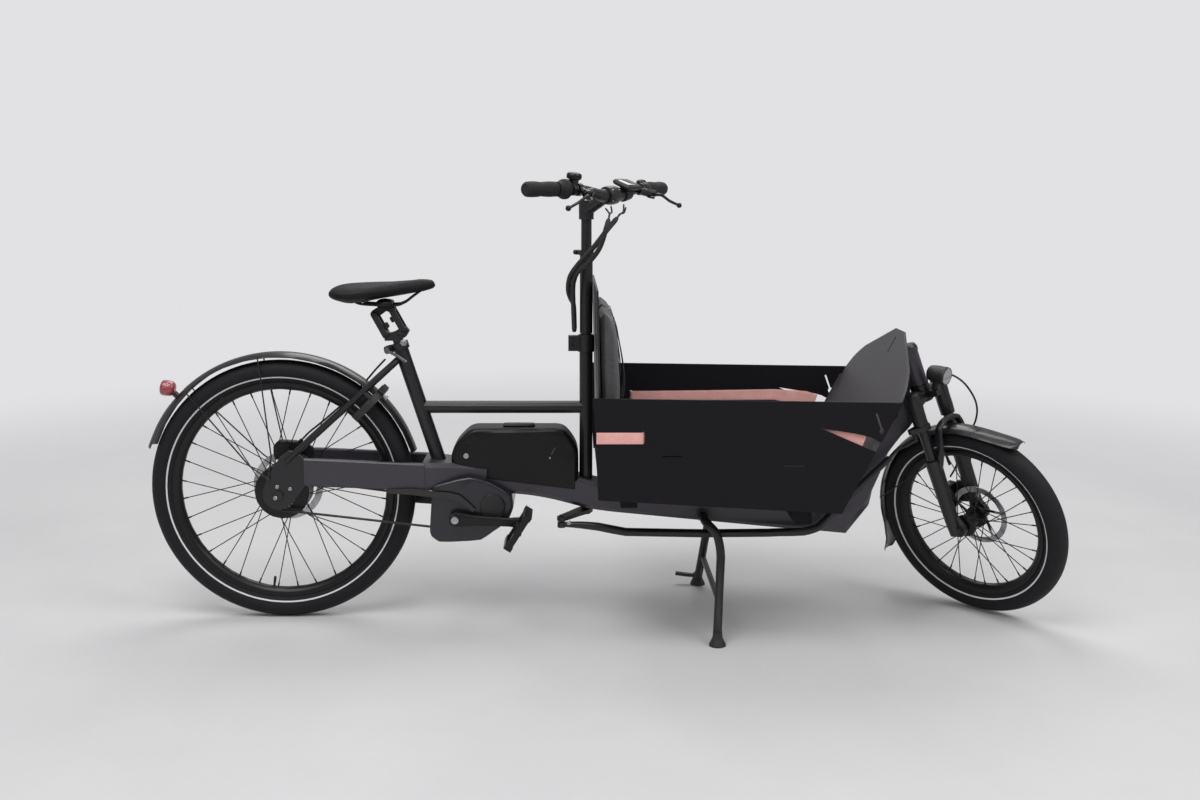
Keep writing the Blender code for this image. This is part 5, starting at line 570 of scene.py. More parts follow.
def finer(points, faces, normals):
    """One round of subdivision: each edge's middle is lifted onto the arc that its two end normals give.

    The lift moves the middle m to m - (((m-p).n) n + ((m-q).k) k) / (2 (1 + c) c), with p, q and n, k the
    ends and their normals and c the cosine of half the angle between them. The faces on both sides of an
    edge share the mean of their two lifts. Long edges, of straight runs, stay straight.
    """
    ends = np.stack([faces, faces[:, [1, 2, 0]]], axis=2).reshape(-1, 2)
    start = points[ends[:, 0]]
    stop = points[ends[:, 1]]
    near = normals.reshape(-1, 3)
    far = normals[:, [1, 2, 0]].reshape(-1, 3)
    middle = (start + stop) / 2
    cosine = np.sqrt(np.clip((1 + np.einsum("ij,ij->i", near, far)) / 2, 0.3, 1))
    drop = np.einsum("ij,ij->i", middle - start, near)[:, None] * near
    drop += np.einsum("ij,ij->i", middle - stop, far)[:, None] * far
    bent = np.linalg.norm(stop - start, axis=1) < STRAIGHT_RUN
    lifted = middle - drop * (bent / (2 * (1 + cosine) * cosine))[:, None]
    key = np.sort(ends, axis=1)
    _, index = np.unique(key[:, 0] * np.int64(len(points)) + key[:, 1], return_inverse=True)
    index = index.reshape(-1)
    total = int(index.max()) + 1
    mean = np.stack([np.bincount(index, lifted[:, k], total) for k in range(3)], axis=1)
    mean /= np.bincount(index, minlength=total)[:, None]
    mids = (index + len(points)).reshape(-1, 3)
    a, b, c = faces.T
    ab, bc, ca = mids.T
    made = np.stack([a, ab, ca, ab, b, bc, ca, bc, c, ab, bc, ca], axis=1).reshape(-1, 3)
    na, nb, nc = normals[:, 0], normals[:, 1], normals[:, 2]
    nab, nbc, nca = unit(na + nb), unit(nb + nc), unit(nc + na)
    rows = [na, nab, nca, nab, nb, nbc, nca, nbc, nc, nab, nbc, nca]
    return np.concatenate([points, mean]), made, np.stack(rows, axis=1).reshape(-1, 3, 3)


def new_object(name, points, faces, material, smooth_angle=SMOOTH_ANGLE):
    """A mesh object at the origin, from an array of points and one of triangles."""
    mesh = bpy.data.meshes.new(name)
    points = np.asarray(points, np.float32)
    faces = np.asarray(faces, np.int32)
    mesh.vertices.add(len(points))
    mesh.vertices.foreach_set("co", points.reshape(-1))
    mesh.loops.add(faces.size)
    mesh.loops.foreach_set("vertex_index", faces.reshape(-1))
    mesh.polygons.add(len(faces))
    mesh.polygons.foreach_set("loop_start", np.arange(len(faces), dtype=np.int32) * faces.shape[1])
    mesh.update(calc_edges=True)
    mesh.validate()
    mesh.shade_smooth()
    mesh.set_sharp_from_angle(angle=smooth_angle)
    mesh.materials.append(material)
    return linked(name, mesh)


def body_of(node):
    """The body that a node belongs to in the record."""
    bodies = frame["record"]["behaviour"]["bodies"]
    return next(body for body, nodes in bodies.items() if node in nodes)


def refined(node, finish_name, rounds, angle, by_area):
    """The solid's finer copy, which rides on its body and stands for it."""
    points, faces = welded(node)
    normals = corner_normals(points, faces, math.radians(angle), by_area)
    for _ in range(rounds):
        points, faces, normals = finer(points, faces, normals)
    piece = new_object(node + "_skin", points, faces, FINISHES[finish_name], SKIN_ANGLE)
    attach(piece, body_of(node))
    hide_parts(node)
    return piece


def second_finish(piece, finish_name, place, axis, low, reach):
    """Another finish on the faces within a reach of an axis and beyond a height along it from a place."""
    mesh = piece.data
    mesh.materials.append(FINISHES[finish_name])
    middles = np.empty(len(mesh.polygons) * 3, np.float32)
    mesh.polygons.foreach_get("center", middles)
    away = middles.reshape(-1, 3) - np.array(place)
    height = away @ axis
    out = np.linalg.norm(away - height[:, None] * axis, axis=1)
    index = np.zeros(len(mesh.polygons), np.int32)
    index[(height > low) & (out < reach)] = 1
    mesh.polygons.foreach_set("material_index", index)


def placed(matrix, points):
    """Points carried by a matrix."""
    turn = np.array(matrix)
    return np.asarray(points, float) @ turn[:3, :3].T + turn[:3, 3]


# The solids, each with its finish, its rounds of subdivision, the angle in degrees up to which faces make
# one surface, and whether wide faces stay flat

SKINS = [
    ("main_beam", "beam_paint", 2, 40, True),
    ("front_riser", "beam_paint", 2, 40, True),
    ("motor_unit", "motor_paint", 2, 50, True),
    ("upper_frame", "frame_paint", 2, 50, False),
    ("rear_triangle", "frame_paint", 2, 50, False),
    ("seat_clamp", "frame_paint", 2, 50, False),
    ("seatpost", "frame_paint", 2, 50, False),
    ("front_post_link", "frame_paint", 2, 40, True),
    ("rear_post_link", "frame_paint", 2, 40, True),
    ("saddle_carrier", "black_alloy", 2, 50, False),
    ("rear_caliper", "black_alloy", 2, 50, True),
    ("front_caliper", "black_alloy", 2, 50, True),
    ("seat_frame", "frame_paint", 1, 40, True),
    ("steering_column", "frame_paint", 2, 50, False),
    ("stem", "frame_paint", 2, 50, False),
    ("handlebar", "frame_paint", 2, 50, False),
    ("fork_upper", "frame_paint", 2, 50, False),
    ("fork_lowers", "frame_paint", 2, 50, False),
    ("tie_rod", "frame_paint", 2, 50, False),
    ("crankset", "black_alloy", 2, 50, True),
    ("right_pedal", "black_alloy", 1, 50, True),
    ("left_pedal", "black_alloy", 1, 50, True),
    ("belt_guard", "guard_gloss", 2, 50, True),
    ("saddle", "saddle_skin", 2, 60, False),
    ("rear_mudguard", "guard_gloss", 2, 50, False),
    ("front_mudguard", "guard_gloss", 2, 50, False),
    ("ring_lock", "moulded", 2, 50, True),
    ("battery", "battery_shell", 2, 50, True),
    ("display", "moulded", 2, 50, True),
    ("front_lamp", "moulded", 2, 50, False),
    ("rear_lamp", "red_lens", 2, 50, False),
    ("right_panel", "laminate", 1, 35, True),
    ("left_panel", "laminate", 1, 35, True),
    ("cargo_floor", "laminate", 1, 35, True),
    ("front_panel", "front_laminate", 1, 35, True),
    ("rear_wheel", "rim_paint", 1, 55, False),
    ("front_wheel", "rim_paint", 1, 55, False),
    ("rear_tyre", "rear_tyre_rubber", 2, 55, False),
    ("front_tyre", "front_tyre_rubber", 2, 55, False),
    ("rear_rotor", "rear_disc", 1, 40, True),
    ("front_rotor", "front_disc", 1, 40, True),
    ("rear_sprocket", "dark_alloy", 1, 40, True),
    ("front_pulley", "dark_alloy", 1, 40, True),
    ("drive_belt", "belt_rubber", 1, 35, True),
    ("right_grip", "grip_rubber", 2, 50, False),
    ("left_grip", "grip_rubber", 2, 50, False),
    ("twist_shifter", "grip_rubber", 2, 50, False),
    ("quick_release", "dark_alloy", 2, 50, False),
    ("right_brake_lever", "black_alloy", 2, 50, False),
    ("left_brake_lever", "black_alloy", 2, 50, False),
    ("bell", "black_alloy", 2, 50, False),
    ("stand", "stand_alloy", 2, 50, False),
    ("lock_bolt", "bolt_steel", 2, 50, False),
]
SKIN_OF = {row[0]: refined(*row) for row in SKINS}


# The front lamp's lens and the display's glass

FRONT_LAMP_AT = (0.066, 0.0, 0.401)
LENS_FROM = 0.0225
LENS_RADIUS = 0.0195
DISPLAY_LEAN = math.radians(22)
DISPLAY_TOP = 0.004
GLASS_SINK = 0.0025
GLASS_REACH = 0.0285


def lens_and_glass():
    """The front lamp's clear lens, about the lamp's level axis, and the display's dark glass."""
    level = np.array(FORK_PLACE.to_3x3()) @ (math.cos(STEER_TILT), 0.0, -math.sin(STEER_TILT))
    centre = placed(FORK_PLACE, FRONT_LAMP_AT)
    second_finish(SKIN_OF["front_lamp"], "clear_lens", centre, level, LENS_FROM, LENS_RADIUS)
    up = np.array(BARS_PLACE.to_3x3()) @ (math.sin(DISPLAY_LEAN), 0.0, math.cos(DISPLAY_LEAN))
    points, _ = welded("display")
    height = points @ up
    middle = points[height > height.max() - DISPLAY_TOP].mean(axis=0)
    second_finish(SKIN_OF["display"], "screen_glass", middle, up, -GLASS_SINK, GLASS_REACH)


lens_and_glass()


# Cords, webbing and padding

KNOT_STEPS = 24
CORD_SIDES = 12
CORD_END = 0.72
BAND_SIDE = 13


def curve_points(knots, step):
    """Points a step apart on a Catmull-Rom curve through the knots.

    Between two knots b and c, with a and d beyond them, the curve at t is
    b + t(c - a)/2 + t^2(a - 5b/2 + 2c - d/2) + t^3((d - a)/2 + 3(b - c)/2).
    """
    knots = np.array([tuple(p) for p in knots], float)
    before = np.concatenate([[2 * knots[0] - knots[1]], knots[:-1]])[:-1]
    after = np.concatenate([knots[1:], [2 * knots[-1] - knots[-2]]])[1:]
    a, b, c, d = before, knots[:-1], knots[1:], after
    t = np.linspace(0, 1, KNOT_STEPS, endpoint=False)[None, :, None]
    a, b, c, d = (p[:, None, :] for p in (a, b, c, d))
    bend = a - 2.5 * b + 2 * c - 0.5 * d
    twist = 0.5 * (d - a) + 1.5 * (b - c)
    points = (b + t * (c - a) / 2 + t**2 * bend + t**3 * twist).reshape(-1, 3)
    points = np.concatenate([points, knots[-1:]])
    run = np.concatenate([[0], np.cumsum(np.linalg.norm(np.diff(points, axis=0), axis=1))])
    even = np.linspace(0, run[-1], max(3, int(round(run[-1] / step)) + 1))
    return np.stack([np.interp(even, run, points[:, k]) for k in range(3)], axis=1)


def length_of(points):
    """The length of a line through points."""
    return float(np.linalg.norm(np.diff(points, axis=0), axis=1).sum())


def carried(points, first_side):
    """Two cross directions at each point of a line, with as little turn as can be between points."""
    along = unit(np.gradient(points, axis=0))
    side = np.empty_like(points)
    last = np.array(first_side, float)
    for i, direction in enumerate(along):
        last = last - direction * (last @ direction)
        last = last / np.linalg.norm(last)
        side[i] = last
    return side, np.cross(along, side)


def shell_faces(rows, columns):
    """Triangles between the rings of a closed sleeve, and the grid corners that each one touches."""
    i, k = np.meshgrid(np.arange(rows - 1), np.arange(columns), indexing="ij")
    i, k = i.reshape(-1), k.reshape(-1)
    corner = [(i, k), (i, k + 1), (i + 1, k + 1), (i, k), (i + 1, k + 1), (i + 1, k)]
    row = np.stack([c[0] for c in corner], axis=1).reshape(-1, 3)
    column = np.stack([c[1] for c in corner], axis=1).reshape(-1, 3)
    return row, column


def ring_faces(rings):
    """Points and triangles of rings joined in a row, shape (rows, columns, 3), with a fan on each end."""
    rows, columns = rings.shape[:2]
    row, column = shell_faces(rows, columns)
    k = np.arange(columns)
    base = (rows - 1) * columns
    near = np.stack([np.full(columns, rows * columns), (k + 1) % columns, k], axis=1)
    far = np.stack([np.full(columns, rows * columns + 1), base + k, base + (k + 1) % columns], axis=1)
    points = np.concatenate([rings.reshape(-1, 3), [rings[0].mean(axis=0), rings[-1].mean(axis=0)]])
    return points, np.concatenate([row * columns + column % columns, near, far])


def sleeve_mesh(name, rings, material, map_name, map_size, smooth_angle):
    """A closed piece of rings joined in a row, with a UV map.

    The map has u from 0 to 1 round each ring and v from 0 to 1 along the rings, each times map_size.
    """
    rows, columns = rings.shape[:2]
    row, column = shell_faces(rows, columns)
    k = np.arange(columns)
    near = np.stack([k + 0.5, k + 1, k], axis=1)
    far = np.stack([k + 0.5, k, k + 1], axis=1)
    u = np.concatenate([column, near, far]) / columns
    v = np.concatenate([row / (rows - 1), np.zeros((columns, 3)), np.ones((columns, 3))])
    piece = new_object(name, *ring_faces(rings), material, math.radians(smooth_angle))
    layer = piece.data.uv_layers.new(name=map_name)
    uv = np.stack([u * map_size[0], v * map_size[1]], axis=2)
    layer.data.foreach_set("uv", uv.reshape(-1).astype(np.float32))
    return piece


def round_cord(name, points, radius, material):
    """A round cord: at each point p of its line the ring p + r (cos a s + sin a t), with rounded ends."""
    side, lift = carried(points, (0.0, 1.0, 0.0))
    angle = 2 * math.pi * np.arange(CORD_SIDES) / CORD_SIDES
    ring = np.cos(angle)[None, :, None] * side[:, None] + np.sin(angle)[None, :, None] * lift[:, None]
    size = np.full(len(points), radius)
    size[[0, -1]] *= CORD_END
    rings = points[:, None] + ring * size[:, None, None]
    return sleeve_mesh(name, rings, material, "sleeve", (1.0, length_of(points)), 40)


def band(name, points, across, width, thick, material):
    """Flat webbing along a line: a thin oblong ring, drawn across the line and rounded at its edges.

    At the share s of the way from the middle to an edge, its half thickness is the square root of
    1 - s^12, and never less than that of 0.10. width and thick may change along the line.
    """
    along = unit(np.gradient(points, axis=0))
    across = np.broadcast_to(np.asarray(across, float), along.shape)
    across = unit(across - along * np.einsum("ij,ij->i", along, across)[:, None])
    normal = np.cross(along, across)
    width = np.broadcast_to(width, len(points))[:, None, None]
    thick = np.broadcast_to(thick, len(points))[:, None, None]
    share = np.linspace(1, -1, BAND_SIDE)
    top = np.stack([share, np.sqrt(np.clip(1 - share**12, 0.10, 1))], axis=1)
    outline = np.concatenate([top, top[::-1] * (1, -1)])
    rings = points[:, None] + across[:, None] * outline[None, :, :1] * width / 2
    rings = rings + normal[:, None] * outline[None, :, 1:] * thick / 2
    return sleeve_mesh(name, rings, material, "webbing", (2 * float(width.mean()), length_of(points)), 60)


# The cords' points: the rear hose's in the frame's place, the front one's in the fork's, the rest in the
# bars'. A point of their curves stands at every 1.2 radii, and a sleeve starts at the seventh of them.

HOSE_RADIUS = 0.0025
SLEEVE_RADIUS = 0.0062
WIRE_RADIUS = 0.0021
CORD_STEP = 1.2
SLEEVE_START = 6

REAR_HOSE = [
    (0.0405, 0.045, 0.1217), (0.060, 0.046, 0.141), (0.090, 0.045, 0.165), (0.130, 0.0425, 0.199),
    (0.172, 0.0405, 0.235), (0.210, 0.0365, 0.276), (0.236, 0.0325, 0.306), (0.262, 0.020, 0.333),
]
FRONT_HOSE = [
    (0.046, 0.030, 0.392), (0.078, 0.034, 0.386), (0.104, 0.038, 0.360), (0.116, 0.043, 0.320),
    (0.112, 0.048, 0.285), (0.090, 0.058, 0.250), (0.052, 0.075, 0.215), (0.020, 0.0845, 0.185),
    (-0.006, 0.0835, 0.150), (-0.026, 0.075, 0.118), (-0.040, 0.060, 0.0985),
]
FIRST_SLEEVE = [
    (0.092, -0.052, 0.7230), (0.112, -0.070, 0.6960), (0.110, -0.080, 0.6650), (0.088, -0.074, 0.6200),
    (0.050, -0.064, 0.5840), (0.010, -0.051, 0.5600), (-0.008, -0.042, 0.5380), (-0.0165, -0.0345, 0.5150),
    (-0.0215, -0.0257, 0.4700), (-0.0199, -0.0237, 0.4060),
]
SECOND_SLEEVE = [
    (0.100, 0.020, 0.7210), (0.100, -0.010, 0.6950), (0.088, -0.045, 0.6600), (0.056, -0.060, 0.6150),
    (0.014, -0.056, 0.5780), (-0.018, -0.046, 0.5450), (-0.034, -0.030, 0.5100), (-0.0345, -0.0160, 0.4850),
    (-0.0324, -0.0087, 0.4700), (-0.0299, -0.0080, 0.4060),
]
SLEEVES = (
    ("first_sleeve", FIRST_SLEEVE, [(0.088, -0.048, 0.7150), (0.096, -0.036, 0.7200)]),
    ("second_sleeve", SECOND_SLEEVE, [(0.094, 0.034, 0.7160), (0.098, 0.018, 0.7235)]),
)


def held_cord(name, body, node, place, line, radius, finish_name):
    """A cord along a line in a place, which rides on a body if one is given and stands for its solid if it
    has one.
    """
    points = placed(place, line)
    piece = round_cord(name, points, radius, FINISHES[finish_name])
    if body:
        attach(piece, body)
    if node:
        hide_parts(node)
    return piece


def hoses_and_sleeves():
    """The two brake hoses, the two wrapped cable sleeves and the thin wires that enter them.

    Each wire comes from its source over a point before the sleeve's mouth and ends just inside it.
    """
    line = curve_points(REAR_HOSE, HOSE_RADIUS * CORD_STEP)
    held_cord("rear_hose", "frame", "rear_brake_hose", FRAME_PLACE, line, HOSE_RADIUS, "hose_rubber")
    line = curve_points(FRONT_HOSE, HOSE_RADIUS * CORD_STEP)
    hose = held_cord("front_hose", None, "front_brake_hose", FORK_PLACE, line, HOSE_RADIUS, "hose_rubber")
    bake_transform(hose)
    for name, route, sources in SLEEVES:
        line = curve_points(route, SLEEVE_RADIUS * CORD_STEP)[SLEEVE_START:]
        held_cord(name, "column", "cable_bundle", BARS_PLACE, line, SLEEVE_RADIUS, "braided_sleeve")
        mouth = line[0]
        ahead = unit(line[1] - mouth)
        for k, source in enumerate(sources):
            before = mouth - ahead * 0.014 + (0.0016 * (k - 0.5), 0.0, 0.0)
            over = np.array(source) * 0.45 + before * 0.55 + (0.004, 0, -0.004)
            wire = curve_points([source, over, before, mouth + ahead * 0.004], WIRE_RADIUS * CORD_STEP)
            held_cord(f"{name}_wire_{k}", "column", None, BARS_PLACE, wire, WIRE_RADIUS, "hose_rubber")


# Coral webbing along the side panels: how far out it lies and how wide it is, and for stations along the
# bike the share of its way in through the panel, its lift and its widening

STRAP_OUTSIDE = 0.3011
STRAP_INSIDE = 0.2929
STRAP_HEIGHT = 0.1925
STRAP_WIDE = 0.027
WEBBING_THICK = 0.0016
STRAP_WAY_IN = ((0.790, 0.895, 0.898, 0.900, 0.903, 1.412), (0.0, 0.0, 0.10, 0.90, 1.0, 1.0))
STRAP_LIFT = ((0.903, 1.100, 1.300, 1.384, 1.412), (0.0, 0.002, 0.004, -0.008, -0.018))
STRAP_WIDENING = ((1.100, 1.300, 1.384, 1.412), (1.0, 1.1, 1.6, 1.6))
STRAP_STATIONS = ((0.790, 0.892, 22), (0.8935, 0.905, 16), (0.912, 1.412, 90))


def side_straps():
    """Each strap lies outside its panel, goes in at the slot and runs on inside, dropping and widening."""
    x = np.concatenate([np.linspace(*run) for run in STRAP_STATIONS])
    depth = STRAP_OUTSIDE + (STRAP_INSIDE - STRAP_OUTSIDE) * np.interp(x, *STRAP_WAY_IN)
    height = STRAP_HEIGHT + np.interp(x, *STRAP_LIFT)
    wide = STRAP_WIDE * np.interp(x, *STRAP_WIDENING)
    for name, side in (("right_strap", -1), ("left_strap", 1)):
        points = placed(FRAME_PLACE, np.stack([x, side * depth, height], axis=1))
        piece = band(name + "_webbing", points, (0, 0, 1), wide, WEBBING_THICK, FINISHES["coral_webbing"])
        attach(piece, "frame")
        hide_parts(name)


# Padded backs of the child bench

PAD_TOP = 0.485
PAD_BOTTOM = 0.199
PAD_FOOT_X = 0.8060
PAD_SLANT = 0.0235
PAD_HALF = 0.119
PAD_MIDDLE = 0.131
PAD_EDGE = 0.014
PAD_CROWN = 0.026
PAD_ROWS = 29
PAD_COLUMNS = 25
PAD_INSET = 0.004
PAD_VOXEL = 0.0048
PAD_PRESSURE = 4.0
PAD_FRAMES = 20
PAD_MOST = 0.0075

# Sewn lines on the pads: their places from -1 to 1 across and down, and their depths and half widths
CHANNEL_ACROSS = 0.36
CHANNEL_DOWN = 0.30
CHANNEL_DEPTH = 0.0034
CROSS_CHANNEL_DEPTH = 0.0028
CHANNEL_WIDE = 0.0042
RIM_AT = 0.93
RIM_DEPTH = 0.0022
RIM_WIDE = 0.0034
PAD_REAR = 0.0006


def pad_axes(side):
    """The middle of a pad's rear face at its top, the way down it and the way forward from it."""
    rear = np.array([PAD_FOOT_X - (PAD_TOP - PAD_BOTTOM) * PAD_SLANT, side * PAD_MIDDLE, PAD_TOP])
    down = np.array([PAD_FOOT_X, side * PAD_MIDDLE, PAD_BOTTOM]) - rear
    forward = unit(np.array([-down[2], 0.0, down[0]]))
    return rear, down, forward


def pad_surface(side, u, v, inset=0.0):
    """Points on a pad's front for u across it and v down it, both from -1 to 1.

    The thickness is edge + crown (1 - u^4)(1 - v^4), times 1 + 0.35 v (1 - v^2) below the middle, and
    the sides draw in by a twentieth of v^4.
    """
    rear, down, forward = pad_axes(side)
    belly = 1 + 0.35 * np.maximum(v, 0) * (1 - v * v)
    thick = PAD_EDGE + PAD_CROWN * (1 - u**4) * (1 - v**4) * belly - inset
    across = (PAD_HALF - inset) * (1 - 0.05 * v**4) * u
    tall = (v * (1 - inset / 0.143) + 1) / 2
    return rear + tall[..., None] * down + across[..., None] * (0, 1, 0) + thick[..., None] * forward


def pad_form(side, inset):
    """A closed pad, smaller all round by the inset: its crowned front, its sides and a flat rear."""
    v, u = np.meshgrid(np.linspace(-1, 1, PAD_ROWS), np.linspace(-1, 1, PAD_COLUMNS), indexing="ij")
    front = pad_surface(side, u, v, inset)
    middle, _, forward = pad_axes(side)
    depth = (front - middle) @ forward
    rear = front - (depth - inset)[..., None] * forward
    ring = np.concatenate([front, rear[:, ::-1]], axis=1)
    round_it = 2 * PAD_COLUMNS
    row, column = shell_faces(PAD_ROWS, round_it)
    faces = [row * round_it + column % round_it]
    k = np.arange(PAD_COLUMNS - 1)
    for end, turn in ((0, 1), (PAD_ROWS - 1, -1)):
        low = end * round_it + k
        high = end * round_it + round_it - 1 - k
        faces.append(np.stack([low, low + 1, high], axis=1)[:, ::turn])
        faces.append(np.stack([low + 1, high - 1, high], axis=1)[:, ::turn])
    return ring.reshape(-1, 3), np.concatenate(faces)


def shaped(piece):
    """The piece as its modifiers make it."""
    return piece.evaluated_get(bpy.context.evaluated_depsgraph_get())


def applied(piece):
    """The piece's mesh, now as its modifiers made it."""
    mesh = bpy.data.meshes.new_from_object(shaped(piece))
    piece.modifiers.clear()
    piece.data = mesh
    return mesh


def filled(piece):
    """Blows a closed form up as cloth with pressure; no point moves further than PAD_MOST."""
    before = points_of(piece.data)
    cloth = piece.modifiers.new("cloth", "CLOTH")
    cloth.settings.use_pressure = True
    cloth.settings.uniform_pressure_force = PAD_PRESSURE
    cloth.settings.effector_weights.gravity = 0.0
    cloth.point_cache.frame_start = 1
    cloth.point_cache.frame_end = PAD_FRAMES
    scene = bpy.context.scene
    for step in range(1, PAD_FRAMES + 1):
        scene.frame_set(step)
    move = points_of(shaped(piece).data) - before
    piece.modifiers.remove(cloth)
    scene.frame_set(1)
    size = np.linalg.norm(move, axis=1, keepdims=True)
    return before + move * np.minimum(1.0, PAD_MOST / np.maximum(size, 1e-9))


def seamed(points, side):
    """Presses the sewn lines in and holds the rear flat.

    Two channels run down the front, one runs across it between them, and the edge seam runs round it. At
    a distance d from a line its press is depth exp(-(d / w)^2). It starts 8 mm in front of the rear.
    """
    rear, down, forward = pad_axes(side)
    length = np.linalg.norm(down)
    local = points - rear
    depth = local @ forward
    tall = local @ (down / length)
    v = tall / length * 2 - 1
    u = local[:, 1] / PAD_HALF
    front = np.clip((depth - 0.008) / 0.008, 0, 1)
    press = np.zeros(len(points))
    inside = np.clip((0.90 - np.abs(v)) / 0.06, 0, 1)
    for line in (-CHANNEL_ACROSS, CHANNEL_ACROSS):
        press += CHANNEL_DEPTH * np.exp(-((u - line) * PAD_HALF / CHANNEL_WIDE) ** 2) * inside
    between = np.clip((CHANNEL_ACROSS - np.abs(u)) / 0.03, 0, 1)
    away = (v - CHANNEL_DOWN) * length / 2
    press += CROSS_CHANNEL_DEPTH * np.exp(-(away / CHANNEL_WIDE) ** 2) * between
    rim = np.maximum(np.abs(u), np.abs(v) * 0.985)
    press += RIM_DEPTH * np.exp(-((rim - RIM_AT) * PAD_HALF / RIM_WIDE) ** 2)
    moved = points - (press * front)[:, None] * forward
    low = np.maximum(PAD_REAR - (moved - rear) @ forward, 0)
    return moved + low[:, None] * forward


def seat_pads():
    """The two padded backs, filled as cloth, with their sewn channels."""
    for name, side in (("right_seat_pad", -1), ("left_seat_pad", 1)):
        points, faces = pad_form(side, PAD_INSET)
        piece = new_object(name + "_felt", placed(FRAME_PLACE, points), faces, FINISHES["grey_felt"])
        remesh = piece.modifiers.new("voxels", "REMESH")
        remesh.mode = "VOXEL"
        remesh.voxel_size = PAD_VOXEL
        mesh = applied(piece)
        mesh.vertices.foreach_set("co", filled(piece).reshape(-1))
        divide = piece.modifiers.new("divide", "SUBSURF")
        divide.levels = divide.render_levels = 1
        mesh = applied(piece)
        points = placed(FRAME_PLACE, seamed(placed(FRAME_PLACE.inverted(), points_of(mesh)), side))
        mesh.vertices.foreach_set("co", points.reshape(-1))
        mesh.update()
        mesh.shade_smooth()
        mesh.materials.clear()
        mesh.materials.append(FINISHES["grey_felt"])
        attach(piece, "frame")
        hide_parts(name)


HARNESS_WIDE = 0.025
SHOULDER_ACROSS = 0.42
SHOULDER_FROM = -0.80
SHOULDER_TO = 0.86
SHOULDER_SLACK = 0.0105
WAIST_ACROSS = 0.90
WAIST_DOWN = 0.62


def harness():
    """Black webbing over each padded back: two shoulder straps and a waist strap.

    The shoulder straps draw together on their way down by 0.45 of their distance, and they stand off the
    pad by the power 1.5 of half a sine wave. Their ends dip into the felt.
    """
    v = np.linspace(SHOULDER_FROM, SHOULDER_TO, 46)
    narrow = 1 - 0.45 * (v - SHOULDER_FROM) / (SHOULDER_TO - SHOULDER_FROM)
    slack = SHOULDER_SLACK * np.sin(np.clip((v + 0.55) / 1.41, 0, 1) * math.pi) ** 1.5
    u = np.linspace(-WAIST_ACROSS, WAIST_ACROSS, 48)
    for label, side in (("right", -1), ("left", 1)):
        _, _, forward = pad_axes(side)
        straps = []
        for k, across in enumerate((-SHOULDER_ACROSS, SHOULDER_ACROSS)):
            line = pad_surface(side, across * narrow, v) + (0.0052 + slack)[:, None] * forward
            line[0] -= forward * 0.0080
            line[-1] -= forward * 0.0050
            straps.append((f"{label}_shoulder_strap_{k}", line, (0, 1, 0)))
        line = pad_surface(side, u, np.full_like(u, WAIST_DOWN)) + 0.0040 * forward
        straps.append((f"{label}_waist_strap", line, (0, 0, 1)))
        for name, line, way in straps:
            line = placed(FRAME_PLACE, line)
            piece = band(name, line, way, HARNESS_WIDE, WEBBING_THICK, FINISHES["black_webbing"])
            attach(piece, "frame")


hoses_and_sleeves()
side_straps()
seat_pads()
harness()


# Small fittings, each set on the surface that carries it

FITTING_ANGLE = math.radians(28)
DISC_BOLTS_OUT = 0.022
FRONT_HUB_PLACE = FORK_PLACE @ Matrix.Translation((0.030, 0, 0))

# A fastener's head in rows from inside its seat to the floor of its socket: a share of the head's height,
# a lift in metres and a share of its radius, which below zero is a hexagon's, from its middle to a side
HEADS = {
    "socket": (
        (0, -0.0006, 1), (0.8, 0, 1), (1, 0, 0.86), (1, 0, -0.50), (0.45, 0, -0.48), (0.42, 0, 0.1),
    ),
    "button": (
        (0, -0.0006, 1), (0.35, 0, 0.97), (0.8, 0, 0.78), (1, 0, 0.48), (1, 0, -0.36), (0.5, 0, -0.34),
        (0.48, 0, 0.1),
    ),
    "nut": (
        (0, -0.0006, 1.12), (0, 0.0006, 1.12), (0, 0.0007, -0.93), (0.85, 0, -0.93), (1, 0, 0.86),
        (1, 0, 0.5), (1, 0.0012, 0.42), (1, 0.0012, 0.1),
    ),
    "lock": (
        (0, -0.0006, 1), (0.7, 0, 1), (1, 0, 0.9), (1, 0, 0.62), (0.55, 0, 0.58), (0.55, 0, 0.30),
        (0.8, 0, 0.26), (0.8, 0, 0.05),
    ),
    "cap": ((0, -0.0006, 1), (0.6, 0, 1), (1, 0, 0.93), (1, 0, 0.1)),
}
STRUCK = {}


def struck(node, start, toward):
    """Where a line from a point first meets a solid."""
    if node not in STRUCK:
        points, faces = welded(node)
        STRUCK[node] = BVHTree.FromPolygons(points.tolist(), faces.tolist())
    place, _, _, _ = STRUCK[node].ray_cast(Vector(start), Vector(toward).normalized())
    if place is None:
        raise ValueError(f"no surface of {node} from {tuple(start)} towards {tuple(toward)}")
    return np.array(place)


def hexagon(angle, apothem):
    """From the middle to a hexagon's side: apothem / cos of the angle from that side's middle."""
    return apothem / np.cos((angle + math.pi / 6) % (math.pi / 3) - math.pi / 6)


def lathed(place, axis, rows, sides=24):
    """Rings about an axis from (height, radius) rows; a radius below zero is a hexagon's apothem."""
    axis = unit(np.asarray(axis, float))
    first = unit(np.cross(axis, (0.31, 0.17, 0.93)))
    second = np.cross(axis, first)
    angle = 2 * math.pi * np.arange(sides) / sides
    ring = np.cos(angle)[:, None] * first + np.sin(angle)[:, None] * second
    rings = []
    for height, radius in rows:
        size = np.full(sides, radius) if radius >= 0 else hexagon(angle, -radius)
        rings.append(np.asarray(place) + axis * height + ring * size[:, None])
    return np.array(rings)


def fitted(name, body, finish_name, forms, angle=FITTING_ANGLE):
    """One piece from several closed forms, each of rings in a row, which rides on a body."""
    points, faces = [], []
    total = 0
    for rings in forms:
        made, sides = ring_faces(rings)
        points.append(made)
        faces.append(sides + total)
        total += len(made)
    piece = new_object(name, np.concatenate(points), np.concatenate(faces), FINISHES[finish_name], angle)
    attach(piece, body)


